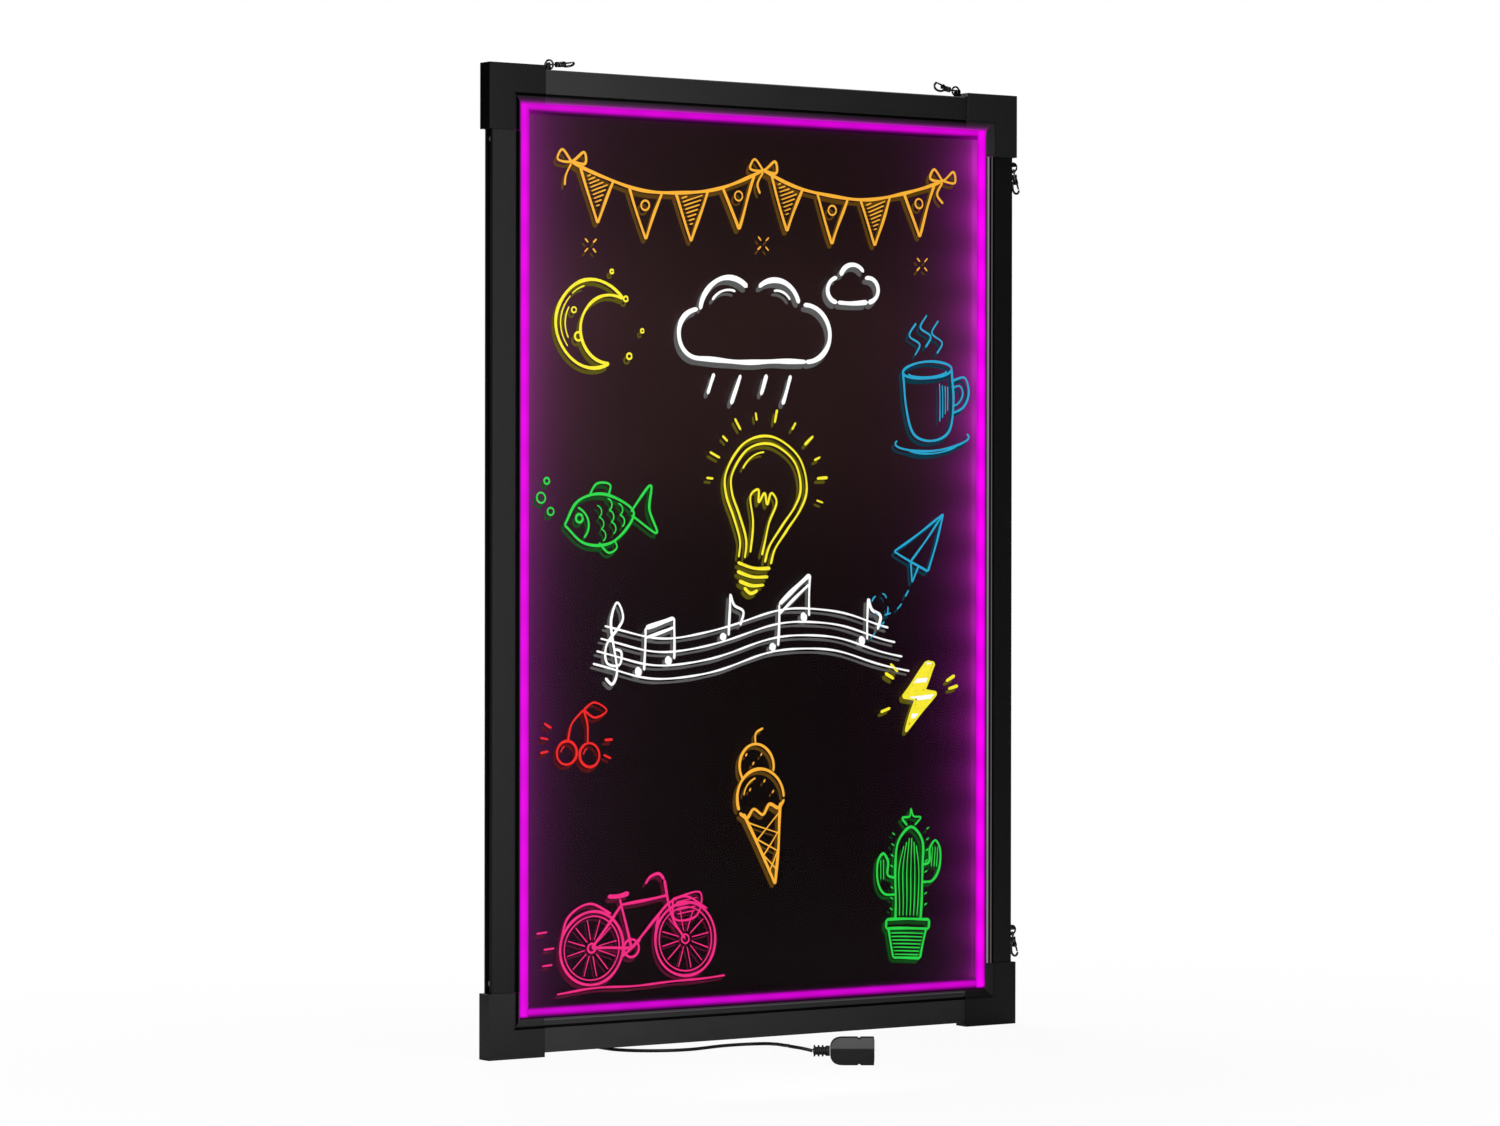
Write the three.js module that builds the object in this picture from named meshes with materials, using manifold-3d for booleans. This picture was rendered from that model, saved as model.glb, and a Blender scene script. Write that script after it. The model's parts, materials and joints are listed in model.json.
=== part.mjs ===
// A writing board that is lit from its edges. Four extruded rails and four corner caps hold a clear
// sheet on a dark backing, light bars run round the rim, snap hooks hang on two of the rails, and a
// short lead with a socket comes out behind the bottom rail. Millimetres, +Z up, the front faces -Y.

import * as THREE from 'three';
import { mergeVertices } from 'three/addons/utils/BufferGeometryUtils.js';
import Module from 'manifold-3d';

const wasm = await Module();
wasm.setup();

// Driving dimensions: the outline over the corner caps, and the clear sheet
const boardWidth = 406.4;
const boardHeight = 609.6;
const sheetThickness = 3.5;

// Clearance between pieces, and how far a cutter passes the face that it opens
const gap = 0.25;
const overrun = 1;

// Caps and rails from the outer face inwards: cap wall, hook channel, web, chamber, wall, light pocket
const capLeg = 40.6;
const capSideWall = 2.35;
const channelWidth = 4.4;
const channelDepth = 2.2;
const channelWeb = 1.4;
const chamberWidth = 7.6;
const railWall = 1.2;
const railFaceLap = 2.6;
const bevelHeel = 0.65;
const bevelWidth = 5.3;
const backLap = 2.2;
const railOuter = capSideWall + gap;
const channelFloor = railOuter + channelDepth;
const chamberStart = channelFloor + channelWeb;
const chamberEnd = chamberStart + chamberWidth;
const pocketStart = chamberEnd + railWall;
const railFaceEnd = pocketStart + railFaceLap;
const capBevelRoot = railFaceEnd + gap;
const capFace = capBevelRoot + bevelHeel;
const capReach = capFace + bevelWidth;
const capBackReach = capReach - backLap;
const railStart = capReach + gap;

// Light strips: a tape along the pocket with a lamp at every step, and links round the corners
const tapeThickness = 0.4;
const tapeWidth = 5;
const tapeOuter = pocketStart + gap;
const lampSize = 3;
const lampHeight = 1;
const lampStep = 33.3;
const lampSink = 0.05;
const linkWidth = 3;

// From the front backwards: cap wall, rail lip, light bar, sheet, backing, rail flange, cap wall
const capWall = 0.9;
const lipThickness = 1.45;
const lightBarThickness = 1;
const backingThickness = 0.9;
const flangeThickness = 1.05;
const bevelEdge = 0.35;
const railFront = capWall + gap;
const rimDrop = railFront + lipThickness;
const lightBarFront = rimDrop + gap;
const sheetFront = lightBarFront + lightBarThickness + gap;
const backingFront = sheetFront + sheetThickness + gap;
const flangeFront = backingFront + backingThickness + gap;
const railBack = flangeFront + flangeThickness;
const boardDepth = railBack + railFront;
const tapeMiddle = (sheetFront + backingFront) / 2;

// The light bars show past the caps' bevel, and the sheet's edge faces the lamps
const lightBarWidth = 6.4;
const lightBarOuter = railFaceEnd + gap;
const lightBarInner = capReach + lightBarWidth;
const sheetEdge = tapeOuter + tapeThickness + lampHeight + gap;

// Front of the rails: rounded outer edge, groove, and a rounded lip with its crest
const railEdgeRadius = 0.6;
const grooveWidth = 1.6;
const grooveDepth = 0.5;
const lipCrest = 0.15;
const lipCrestShare = 0.45;

// Screws in the channels: a pan head and a shank that ends in the corner key
const headRadius = 1.75;
const headHeight = 0.8;
const shankRadius = 0.85;
const shankDepth = 3.6;
const plainScrewOffset = 6;

// Snap hooks, from the pin outwards: ring, swivel eye, barrel, and a hook of bent wire
const pinRadius = 0.55;
const pinOffset = 4.5;
const ringRadius = 2.75;
const ringWire = 0.55;
const ringClear = 0.3;
const pinHeight = ringRadius + ringWire + ringClear;
const ringShift = ringRadius - ringWire - pinRadius - gap;
const eyeWire = 0.45;
const eyeRadius = ringWire + gap + eyeWire;
const stemRadius = 0.55;
const stemShow = 0.35;
const stemHeadRadius = 1.05;
const stemHeadClear = 0.3;
const stemHeadLength = 1;
const barrelWall = 0.45;
const barrelLip = 0.8;
const barrelLength = 3.6;
const barrelRadius = stemHeadRadius + stemHeadClear + barrelWall;
const barrelStart = ringShift + ringRadius + eyeRadius + eyeWire + stemShow;
const barrelEnd = barrelStart + barrelLength;
const hookWire = 0.65;
const hookHalf = 2.35;
const hookSpan = 8.95;
const hookEnd = barrelEnd + hookSpan;
const noseShare = 0.771;
const noseX = barrelEnd + hookSpan * noseShare;

// Bent wire of the hook: shares of its span past the barrel, and of its half height
const hookPathShares = [
  [-0.045, -0.277],
  [0.123, -0.557],
  [0.341, -0.906],
  [0.597, -1],
  [0.844, -0.779],
  [1, -0.138],
  [0.982, 0.609],
  [0.844, 1],
  [noseShare, 1],
];

// Brackets of the hooks: a plate in the channel under a screw, and two ears for the pin
const plateThickness = 0.8;
const plateBack = 2.2;
const hookScrewOffset = 8;
const plateEnd = 2.6;
const plateFront = hookScrewOffset + plateEnd;
const earClear = 0.65;
const earInside = ringWire + earClear;
const earThickness = 0.8;
const earWall = 0.75;
const earRadius = pinRadius + earWall;

// Gates of the hooks: lever with a thumb nub, a boss and a pin between two cheeks of the hook
const gatePivotAhead = 1.1;
const gatePivotX = barrelEnd + gatePivotAhead;
const gatePivotZ = 1.1;
const gatePin = 0.35;
const gatePinClear = 0.12;
const gateHalf = 0.33;
const gateThickness = 0.9;
const gateBoss = 0.8;
const gateTipClear = 0.4;
const thumbHeight = 1.1;
const thumbFoot = 1.3;
const thumbHeel = 0.27;
const cheekThickness = 0.6;
const cheekLap = 0.4;
const cheekReach = 1.2;
const cheekDrop = 0.3;

// Corner keys in the chambers of two rails, long enough for the furthest screw
const keyEnd = 4.9;
const keyOuter = chamberStart + gap;
const keyInner = chamberEnd - gap;
const keyFront = railFront + railWall + gap;
const keyBack = railBack - railWall - gap;
const keyLeg = capLeg + pinOffset + hookScrewOffset + keyEnd;

// Hangers at rest: tilt of each chain off its rail, roll of a hook that lies down, room under the lowest hook
const restLow = 3;
const restHigh = 8;
const restHanging = 8;
const rollLying = 65;
const lowHookClearance = 2.6;

// Cord outlet in the back wall of the bottom rail, and the wire from it to the light strip
const outletPastKey = 5.2;
const outletFromCorner = keyLeg + outletPastKey;
const outletHeight = chamberStart + chamberWidth / 2;
const cordRadius = 1.05;
const glandWall = 0.85;
const glandTipWall = 0.5;
const glandRim = 1.2;
const glandFlangeThickness = 1.2;
const glandLength = 8;
const glandNeck = cordRadius + glandWall;
const glandTip = cordRadius + glandTipWall;
const glandFlange = glandNeck + glandRim;
const feedWireRadius = 0.8;

// Strain relief at the end of the cord
const reliefLength = 10.2;
const reliefRib = 3.5;
const reliefGroove = 2.6;
const reliefNeck = 3.2;
const reliefRibStep = 2.5;
const reliefRibWidth = 1.3;
const reliefRibs = 3;

// Socket on its long edge: metal shell, contact tongue, and a housing with a ridge and a notch
const shellHalfHeight = 6.55;
const shellHalfWidth = 2.85;
const shellWall = 0.4;
const shellLength = 13.5;
const shellProud = 0.3;
const tongueClear = 0.65;
const tongueThickness = 1.8;
const tongueShift = 0.7;
const tongueLength = 8.9;
const tongueBase = 2.5;
const housingSideWall = 0.85;
const housingEdgeWall = 1.9;
const housingRidgeRise = 1.2;
const housingLength = 26.6;
const housingShoulder = 7.5;
const housingShoulderStart = 1.1;
const housingHalfHeight = shellHalfHeight + housingEdgeWall;
const housingHalfEdge = shellHalfWidth + housingSideWall;
const housingHalfRidge = housingHalfEdge + housingRidgeRise;
const housingRidgeShare = 0.2;
const notchDepth = 1;
const notchHalf = 1.1;
const notchShare = 0.66;
const socketX = 153;
const socketY = -126.2;
const socketHeading = THREE.MathUtils.degToRad(-35);

// Segments of round shapes
const wireSides = 8;
const ringSteps = 20;
const eyeSteps = 14;
const roundSides = 14;
const holeSides = 10;
const hookSteps = 22;
const cordSides = 8;
const cordSteps = 72;

const quarterTurn = Math.PI / 2;
const halfTurn = Math.PI;

// Surface finishes
const blackAnodised = [0x1d1d1e, 0.42, 0.7];
const blackPlastic = [0x161616, 0.5, 0];
const clearSheet = [0x120d10, 0.08, 0];
const blackBacking = [0x0a0a0b, 0.35, 0];
const magentaLight = [0xe010e0, 0.4, 0];
const whiteTape = [0xe8e6df, 0.6, 0];
const greyKey = [0x3a3a3c, 0.6, 0];
const brightSteel = [0xc8cacc, 0.22, 1];
const softBlack = [0x101010, 0.6, 0];
const contactPlastic = [0xdcdcd6, 0.5, 0];
const redWire = [0x8a1c1c, 0.5, 0];

// A geometry with shared corners only, its faces pointing out
function tidy(geometry) {
  const bare = geometry.index ? geometry.toNonIndexed() : geometry.clone();
  bare.deleteAttribute('normal');
  bare.deleteAttribute('uv');
  const joined = mergeVertices(bare);
  const corners = joined.getAttribute('position');
  const index = joined.index.array;
  const [a, b, c] = [new THREE.Vector3(), new THREE.Vector3(), new THREE.Vector3()];
  const kept = [];
  let volume = 0;
  for (let i = 0; i < index.length; i += 3) {
    const [i0, i1, i2] = [index[i], index[i + 1], index[i + 2]];
    if (i0 === i1 || i1 === i2 || i2 === i0) continue;
    a.fromBufferAttribute(corners, i0);
    b.fromBufferAttribute(corners, i1);
    c.fromBufferAttribute(corners, i2);
    volume += a.dot(b.cross(c));
    kept.push(i0, i1, i2);
  }
  if (volume < 0) kept.reverse();
  joined.setIndex(kept);
  return joined;
}

function solid(geometry) {
  const clean = tidy(geometry);
  return new wasm.Manifold(new wasm.Mesh({
    numProp: 3,
    vertProperties: new Float32Array(clean.getAttribute('position').array),
    triVerts: new Uint32Array(clean.index.array),
  }));
}

function geometryOf(body) {
  const mesh = body.getMesh();
  const geometry = new THREE.BufferGeometry();
  geometry.setAttribute('position', new THREE.BufferAttribute(mesh.vertProperties, 3));
  geometry.setIndex(new THREE.BufferAttribute(mesh.triVerts, 1));
  return geometry;
}

// Joins the first list and cuts the second out of it
function carve(added, removed = []) {
  let body = solid(added[0]);
  for (const piece of added.slice(1)) body = body.add(solid(piece));
  for (const piece of removed) body = body.subtract(solid(piece));
  return geometryOf(body);
}

function piece(name, geometry, finish) {
  const [color, roughness, metalness] = finish;
  const ready = tidy(geometry);
  ready.computeVertexNormals();
  const mesh = new THREE.Mesh(ready, new THREE.MeshStandardMaterial({ color, roughness, metalness }));
  mesh.name = name;
  return mesh;
}

// Box between two corners
function block(x0, x1, y0, y1, z0, z1) {
  const box = new THREE.BoxGeometry(x1 - x0, y1 - y0, z1 - z0);
  return box.translate((x0 + x1) / 2, (y0 + y1) / 2, (z0 + z1) / 2);
}

// Shape drawn in X and Z, as thick as from y0 to y1
function slab(shape, y0, y1) {
  const settings = { depth: y1 - y0, bevelEnabled: false, curveSegments: 6 };
  const geometry = new THREE.ExtrudeGeometry(shape, settings);
  return geometry.rotateX(quarterTurn).translate(0, y1, 0);
}

function outline(points) {
  return new THREE.Shape(points.map(([x, y]) => new THREE.Vector2(x, y)));
}

// Round bar along X, Y or Z
function bar(axis, radius, from, to, sides, across = [0, 0]) {
  const rod = new THREE.CylinderGeometry(radius, radius, to - from, sides);
  const middle = (from + to) / 2;
  if (axis === 'x') return rod.rotateZ(-quarterTurn).translate(middle, across[0], across[1]);
  if (axis === 'y') return rod.translate(across[0], middle, across[1]);
  return rod.rotateX(quarterTurn).translate(across[0], across[1], middle);
}

// Turned shape about X: profile points are radius and place along X
function turned(profile, sides) {
  const points = profile.map(([radius, along]) => new THREE.Vector2(radius, along));
  return new THREE.LatheGeometry(points, sides).rotateZ(-quarterTurn);
}

function roundSection(radius, sides) {
  const corners = [];
  for (let i = 0; i < sides; i += 1) {
    const angle = (i / sides) * 2 * Math.PI;
    corners.push([radius * Math.cos(angle), radius * Math.sin(angle)]);
  }
  return outline(corners);
}

function wireAlong(points, radius, sides, steps) {
  const places = points.map(([x, y, z]) => new THREE.Vector3(x, y, z));
  const path = new THREE.CatmullRomCurve3(places, false, 'centripetal');
  return new THREE.ExtrudeGeometry(roundSection(radius, sides), { steps, extrudePath: path });
}

// L-shaped outline round a corner of the board, between two distances from its outer faces
function cornerOutline(outer, inner, leg) {
  return outline([[outer, outer], [leg, outer], [leg, inner], [inner, inner], [inner, leg], [outer, leg]]);
}

// Block that narrows from one square to another as it goes deeper: the void in front of the sheet
function narrowingBlock(edge0, y0, edge1, y1, far) {
  const corners = [];
  for (const [edge, y] of [[edge0, y0], [edge1, y1]]) {
    corners.push([edge, y, edge], [far, y, edge], [far, y, far], [edge, y, far]);
  }
  const faces = [[0, 1, 2, 3], [7, 6, 5, 4], [0, 4, 5, 1], [1, 5, 6, 2], [2, 6, 7, 3], [3, 7, 4, 0]];
  const places = [];
  for (const [i, j, k, l] of faces) {
    for (const corner of [i, j, k, i, k, l]) places.push(...corners[corner]);
  }
  const geometry = new THREE.BufferGeometry();
  geometry.setAttribute('position', new THREE.Float32BufferAttribute(places, 3));
  return geometry;
}

// In a side's own frame X runs inwards from the outer face of its caps, Y goes deeper and Z runs
// along the side from the corner at its start. Each side carries the cap and the key of that corner.
const sides = [
  { name: 'left', corner: 'bottom_left', turn: 0, length: boardHeight, x: 0, z: 0 },
  { name: 'top', corner: 'top_left', turn: quarterTurn, length: boardWidth, x: 0, z: boardHeight },
  { name: 'right', corner: 'top_right', turn: halfTurn, length: boardHeight, x: boardWidth, z: boardHeight },
  { name: 'bottom', corner: 'bottom_right', turn: -quarterTurn, length: boardWidth, x: boardWidth, z: 0 },
];

// Hangers: their side, the pin's place along it, the way the chain points, its tilt, and the hook's roll
const hangers = [
  { name: 'top_left', side: 'top', along: capLeg + pinOffset, way: 1, rest: restLow, roll: rollLying },
  {
    name: 'top_right',
    side: 'top',
    along: boardWidth - capLeg - pinOffset,
    way: -1,
    rest: restHigh,
    roll: 0,
  },
  { name: 'right_upper', side: 'right', along: capLeg + pinOffset, way: 1, rest: restHanging, roll: 0 },
  {
    name: 'right_lower',
    side: 'right',
    along: boardHeight - capLeg - hookEnd - hookWire - lowHookClearance,
    way: 1,
    rest: restHanging,
    roll: 0,
  },
];

// Places of the screws along a side, from its start
function screwsOf(side) {
  const onSide = hangers.filter((hanger) => hanger.side === side.name);
  if (onSide.length > 0) return onSide.map((hanger) => hanger.along + hanger.way * hookScrewOffset);
  return [capLeg + plainScrewOffset, side.length - capLeg - plainScrewOffset];
}

// Rail: one profile along its side, with the lip notched at both ends where the caps cover it
function railProfile() {
  const mouth = [boardDepth / 2 - channelWidth / 2, boardDepth / 2 + channelWidth / 2];
  const lipStart = railFaceEnd + grooveWidth;
  const grooveFloor = railFront + grooveDepth;
  const crestX = lipStart + (capReach - lipStart) * lipCrestShare;
  const shape = new THREE.Shape();
  shape.moveTo(railOuter + railEdgeRadius, railFront);
  shape.lineTo(railFaceEnd, railFront);
  shape.lineTo(railFaceEnd, grooveFloor);
  shape.lineTo(lipStart, grooveFloor);
  shape.quadraticCurveTo(lipStart, railFront + lipCrest, crestX, railFront + lipCrest);
  shape.quadraticCurveTo(capReach, railFront + lipCrest, capReach, rimDrop - bevelEdge);
  shape.lineTo(capReach, rimDrop);
  shape.lineTo(pocketStart, rimDrop);
  shape.lineTo(pocketStart, flangeFront);
  shape.lineTo(capBackReach, flangeFront);
  shape.lineTo(capBackReach, railBack);
  shape.lineTo(railOuter + railEdgeRadius, railBack);
  shape.lineTo(railOuter, railBack - railEdgeRadius);
  shape.lineTo(railOuter, mouth[1]);
  shape.lineTo(channelFloor, mouth[1]);
  shape.lineTo(channelFloor, mouth[0]);
  shape.lineTo(railOuter, mouth[0]);
  shape.lineTo(railOuter, railFront + railEdgeRadius);
  shape.lineTo(railOuter + railEdgeRadius, railFront);
  shape.holes.push(new THREE.Path([
    new THREE.Vector2(chamberStart, railFront + railWall),
    new THREE.Vector2(chamberStart, railBack - railWall),
    new THREE.Vector2(chamberEnd, railBack - railWall),
    new THREE.Vector2(chamberEnd, railFront + railWall),
  ]));
  return shape;
}

function rail(side) {
  const depth = side.length - 2 * railStart;
  const length = new THREE.ExtrudeGeometry(railProfile(), { depth, bevelEnabled: false, curveSegments: 4 });
  length.translate(0, 0, railStart);
  const cuts = [];
  for (const [z0, z1] of [[0, capLeg + gap], [side.length - capLeg - gap, side.length]]) {
    cuts.push(block(railFaceEnd, capReach + overrun, railFront - overrun, rimDrop + overrun, z0, z1));
  }
  for (const along of screwsOf(side)) {
    const [from, to] = [railOuter, chamberStart + overrun];
    cuts.push(bar('x', shankRadius + gap, from, to, holeSides, [boardDepth / 2, along]));
  }
  if (side.name === 'bottom') {
    const along = side.length - outletFromCorner;
    const [from, to] = [railBack - railWall - overrun, railBack + overrun];
    cuts.push(bar('y', glandNeck + gap, from, to, holeSides, [outletHeight, along]));
    const [web0, web1] = [chamberEnd - overrun, pocketStart + overrun];
    cuts.push(bar('x', feedWireRadius + gap, web0, web1, holeSides, [tapeMiddle, along]));
  }
  return piece(`${side.name}_rail`, carve([length], cuts), blackAnodised);
}

// Cap: an L-shaped shell open inwards, its rim bevelled down to the sheet
function cornerCap(side) {
  const far = capLeg + overrun;
  const body = slab(cornerOutline(0, capReach, capLeg), 0, boardDepth);
  const cuts = [
    slab(cornerOutline(capSideWall, far, far), rimDrop, boardDepth - capWall),
    slab(cornerOutline(capSideWall, capBevelRoot, far), capWall, rimDrop + overrun),
    slab(outline([[capBackReach, capBackReach], [far, capBackReach], [far, far], [capBackReach, far]]),
      boardDepth - capWall - overrun, boardDepth + overrun),
    narrowingBlock(capFace, 0, capReach, rimDrop - bevelEdge, far),
  ];
  return piece(`corner_cap_${side.corner}`, carve([body], cuts), blackPlastic);
}

// Key: legs in the chambers of the two rails that meet at the corner, with holes for their screws
function cornerKey(side, previous) {
  const body = slab(cornerOutline(keyOuter, keyInner, keyLeg), keyFront, keyBack);
  const depth = [keyOuter - overrun, keyOuter + shankDepth + gap];
  const alongSide = Math.min(...screwsOf(side));
  const alongPrevious = previous.length - Math.max(...screwsOf(previous));
  const holes = [
    bar('x', shankRadius + gap, depth[0], depth[1], holeSides, [boardDepth / 2, alongSide]),
    bar('z', shankRadius + gap, depth[0], depth[1], holeSides, [alongPrevious, boardDepth / 2]),
  ];
  return piece(`corner_key_${side.corner}`, carve([body], holes), greyKey);
}

function lightBar(side) {
  const ends = [side.length - lightBarOuter, side.length - lightBarInner];
  const shape = outline([
    [lightBarOuter, lightBarOuter + gap],
    [lightBarInner, lightBarInner + gap],
    [lightBarInner, ends[1] - gap],
    [lightBarOuter, ends[0] - gap],
  ]);
  const strip = slab(shape, lightBarFront, lightBarFront + lightBarThickness);
  return piece(`light_bar_${side.name}`, strip, magentaLight);
}

function lightStrip(side) {
  const start = railStart + gap;
  const end = side.length - start;
  const lampRoot = tapeOuter + tapeThickness;
  const tapeHalf = tapeWidth / 2;
  const lampHalf = lampSize / 2;
  const parts = [block(tapeOuter, lampRoot, tapeMiddle - tapeHalf, tapeMiddle + tapeHalf, start, end)];
  const count = Math.floor((end - start - lampSize) / lampStep) + 1;
  const first = (side.length - (count - 1) * lampStep) / 2;
  for (let i = 0; i < count; i += 1) {
    const middle = first + i * lampStep;
    parts.push(block(lampRoot - lampSink, lampRoot + lampHeight,
      tapeMiddle - lampHalf, tapeMiddle + lampHalf, middle - lampHalf, middle + lampHalf));
  }
  return piece(`light_strip_${side.name}`, carve(parts), whiteTape);
}

function stripLink(side) {
  const shape = cornerOutline(tapeOuter, tapeOuter + tapeThickness, railStart);
  const link = slab(shape, tapeMiddle - linkWidth / 2, tapeMiddle + linkWidth / 2);
  return piece(`strip_link_${side.corner}`, link, whiteTape);
}

// Screw along X: its head sits on the channel floor or on a hook's plate
function screw(name, along, seat) {
  const shankEnd = keyOuter + shankDepth;
  const profile = [
    [0, seat - headHeight],
    [headRadius, seat - headHeight],
    [headRadius, seat],
    [shankRadius, seat],
    [shankRadius, shankEnd],
    [0, shankEnd],
  ];
  const body = turned(profile, roundSides);
  body.translate(0, boardDepth / 2, along);
  return piece(name, body, brightSteel);
}

// Bracket, with the pin's centre at the origin, X along the chain and Z outwards
function hookBracket(name) {
  const floor = -(pinHeight + channelDepth) + gap;
  const halfPlate = channelWidth / 2 - gap;
  const plate = block(-plateBack, plateFront, -halfPlate, halfPlate, floor, floor + plateThickness);
  const ear = new THREE.Shape();
  ear.moveTo(-earRadius, floor + plateThickness / 2);
  ear.lineTo(earRadius, floor + plateThickness / 2);
  ear.lineTo(earRadius, 0);
  ear.absarc(0, 0, earRadius, 0, halfTurn, false);
  ear.lineTo(-earRadius, floor + plateThickness / 2);
  const earOutside = earInside + earThickness;
  const parts = [plate, slab(ear, earInside, earOutside), slab(ear, -earOutside, -earInside)];
  const pinHalf = earOutside + gap;
  parts.push(bar('y', pinRadius, -pinHalf, pinHalf, holeSides));
  const [low, high] = [floor - overrun, floor + plateThickness + overrun];
  const hole = bar('z', shankRadius + gap, low, high, holeSides, [hookScrewOffset, 0]);
  return piece(`hook_bracket_${name}`, carve(parts, [hole]), brightSteel);
}

function hookRing(name) {
  const torus = new THREE.TorusGeometry(ringRadius, ringWire, wireSides, ringSteps).rotateX(quarterTurn);
  return piece(`hook_ring_${name}`, torus.translate(ringShift, 0, 0), brightSteel);
}

// Swivel eye round the ring's far side, with a stem that is headed inside the hook's barrel
function swivelEye(name) {
  const torus = new THREE.TorusGeometry(eyeRadius, eyeWire, wireSides, eyeSteps);
  const headStart = barrelStart + barrelLip + gap - ringShift - ringRadius;
  const stemRoot = eyeRadius;
  const stem = turned([
    [0, stemRoot],
    [stemRadius, stemRoot],
    [stemRadius, headStart],
    [stemHeadRadius, headStart],
    [stemHeadRadius, headStart + stemHeadLength],
    [0, headStart + stemHeadLength],
  ], holeSides);
  return piece(`swivel_eye_${name}`, carve([torus, stem]), brightSteel);
}

// Hook: barrel over the stem's head, bent wire round to its nose, and cheeks for the gate's pin
function snapHook(name) {
  const cavityEnd = barrelEnd - barrelLip;
  const barrel = turned([
    [0, barrelEnd],
    [barrelRadius, barrelEnd],
    [barrelRadius, barrelStart],
    [stemRadius + gap, barrelStart],
    [stemRadius + gap, barrelStart + barrelLip],
    [barrelRadius - barrelWall, barrelStart + barrelLip],
    [barrelRadius - barrelWall, cavityEnd],
    [0, cavityEnd],
  ], roundSides);
  const path = hookPathShares.map(([along, out]) => [barrelEnd + hookSpan * along, 0, hookHalf * out]);
  const wire = wireAlong(path, hookWire, wireSides, hookSteps);
  const cheek = outline([
    [barrelEnd - cheekLap, -barrelRadius + cheekDrop],
    [gatePivotX + gateBoss, -barrelRadius + cheekDrop / 2],
    [gatePivotX + cheekReach, gatePivotZ],
    [gatePivotX + gateBoss / 2, gatePivotZ + gateBoss],
    [barrelEnd - cheekLap, barrelRadius - cheekDrop],
  ]);
  const inside = gateHalf + gap;
  const outside = inside + cheekThickness;
  const parts = [barrel, wire, slab(cheek, inside, outside), slab(cheek, -outside, -inside)];
  const holeHalf = outside + overrun;
  const hole = bar('y', gatePin + gatePinClear, -holeHalf, holeHalf, holeSides, [gatePivotX, gatePivotZ]);
  return piece(`snap_hook_${name}`, carve(parts, [hole]), brightSteel);
}

// Gate, with its pin's centre at the origin
function hookGate(name) {
  const tipX = noseX - gateTipClear - gatePivotX;
  const tipZ = hookHalf - gatePivotZ;
  const half = gateThickness / 2;
  const lever = slab(outline([
    [0, -half],
    [tipX, tipZ - half],
    [tipX, tipZ + half],
    [thumbFoot, half + thumbHeight / 2],
    [gateBoss, half + thumbHeight],
    [thumbHeel, half + thumbHeight],
    [-half, half],
  ]), -gateHalf, gateHalf);
  const boss = bar('y', gateBoss, -gateHalf, gateHalf, holeSides);
  const pinHalf = gateHalf + gap + cheekThickness + gap;
  const pin = bar('y', gatePin, -pinHalf, pinHalf, wireSides);
  return piece(`hook_gate_${name}`, carve([lever, boss, pin]), brightSteel);
}

// A hanger on its side: each group turns about its own origin
function hanger(entry) {
  const base = new THREE.Group();
  base.position.set(railOuter - pinHeight, boardDepth / 2, entry.along);
  base.rotation.y = -quarterTurn;
  const facing = new THREE.Group();
  facing.rotation.z = entry.way > 0 ? 0 : halfTurn;
  const chain = new THREE.Group();
  chain.name = `ring_pivot_${entry.name}`;
  chain.rotation.y = -THREE.MathUtils.degToRad(entry.rest);
  const swing = new THREE.Group();
  swing.name = `swing_pivot_${entry.name}`;
  swing.position.x = ringShift + ringRadius;
  const gate = new THREE.Group();
  gate.name = `gate_pivot_${entry.name}`;
  gate.position.set(gatePivotX, 0, gatePivotZ);
  gate.add(hookGate(entry.name));
  swing.add(swivelEye(entry.name));
  const hook = new THREE.Group();
  hook.rotation.x = THREE.MathUtils.degToRad(entry.roll);
  hook.add(snapHook(entry.name), gate);
  chain.add(hookRing(entry.name), swing, hook);
  facing.add(hookBracket(entry.name), chain);
  base.add(facing);
  return base;
}

function writingSheet() {
  const sheet = block(sheetEdge, boardWidth - sheetEdge, sheetFront, sheetFront + sheetThickness,
    sheetEdge, boardHeight - sheetEdge);
  return piece('writing_sheet', sheet, clearSheet);
}

function backingBoard() {
  const board = block(sheetEdge, boardWidth - sheetEdge, backingFront, backingFront + backingThickness,
    sheetEdge, boardHeight - sheetEdge);
  return piece('backing_board', board, blackBacking);
}

// Gland: neck in the rail's back wall, flange against it, tapered sleeve round the cord
const glandEnd = railBack + gap + glandFlangeThickness + glandLength;
function cordGland() {
  const neckStart = railBack - railWall;
  const flangeStart = railBack + gap;
  const flangeEnd = flangeStart + glandFlangeThickness;
  const body = turned([
    [0, neckStart],
    [glandNeck, neckStart],
    [glandNeck, flangeStart],
    [glandFlange, flangeStart],
    [glandFlange, flangeEnd],
    [glandNeck, flangeEnd],
    [glandTip, glandEnd],
    [0, glandEnd],
  ], roundSides);
  body.rotateZ(quarterTurn);
  return piece('cord_gland', body.translate(outletFromCorner, 0, outletHeight), softBlack);
}

// Wire from the chamber through the inner web to the light strip
function feedWire() {
  const across = [outletFromCorner, tapeMiddle];
  const wire = bar('z', feedWireRadius, outletHeight, tapeOuter - gap, wireSides, across);
  return piece('feed_wire', wire, redWire);
}

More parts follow.
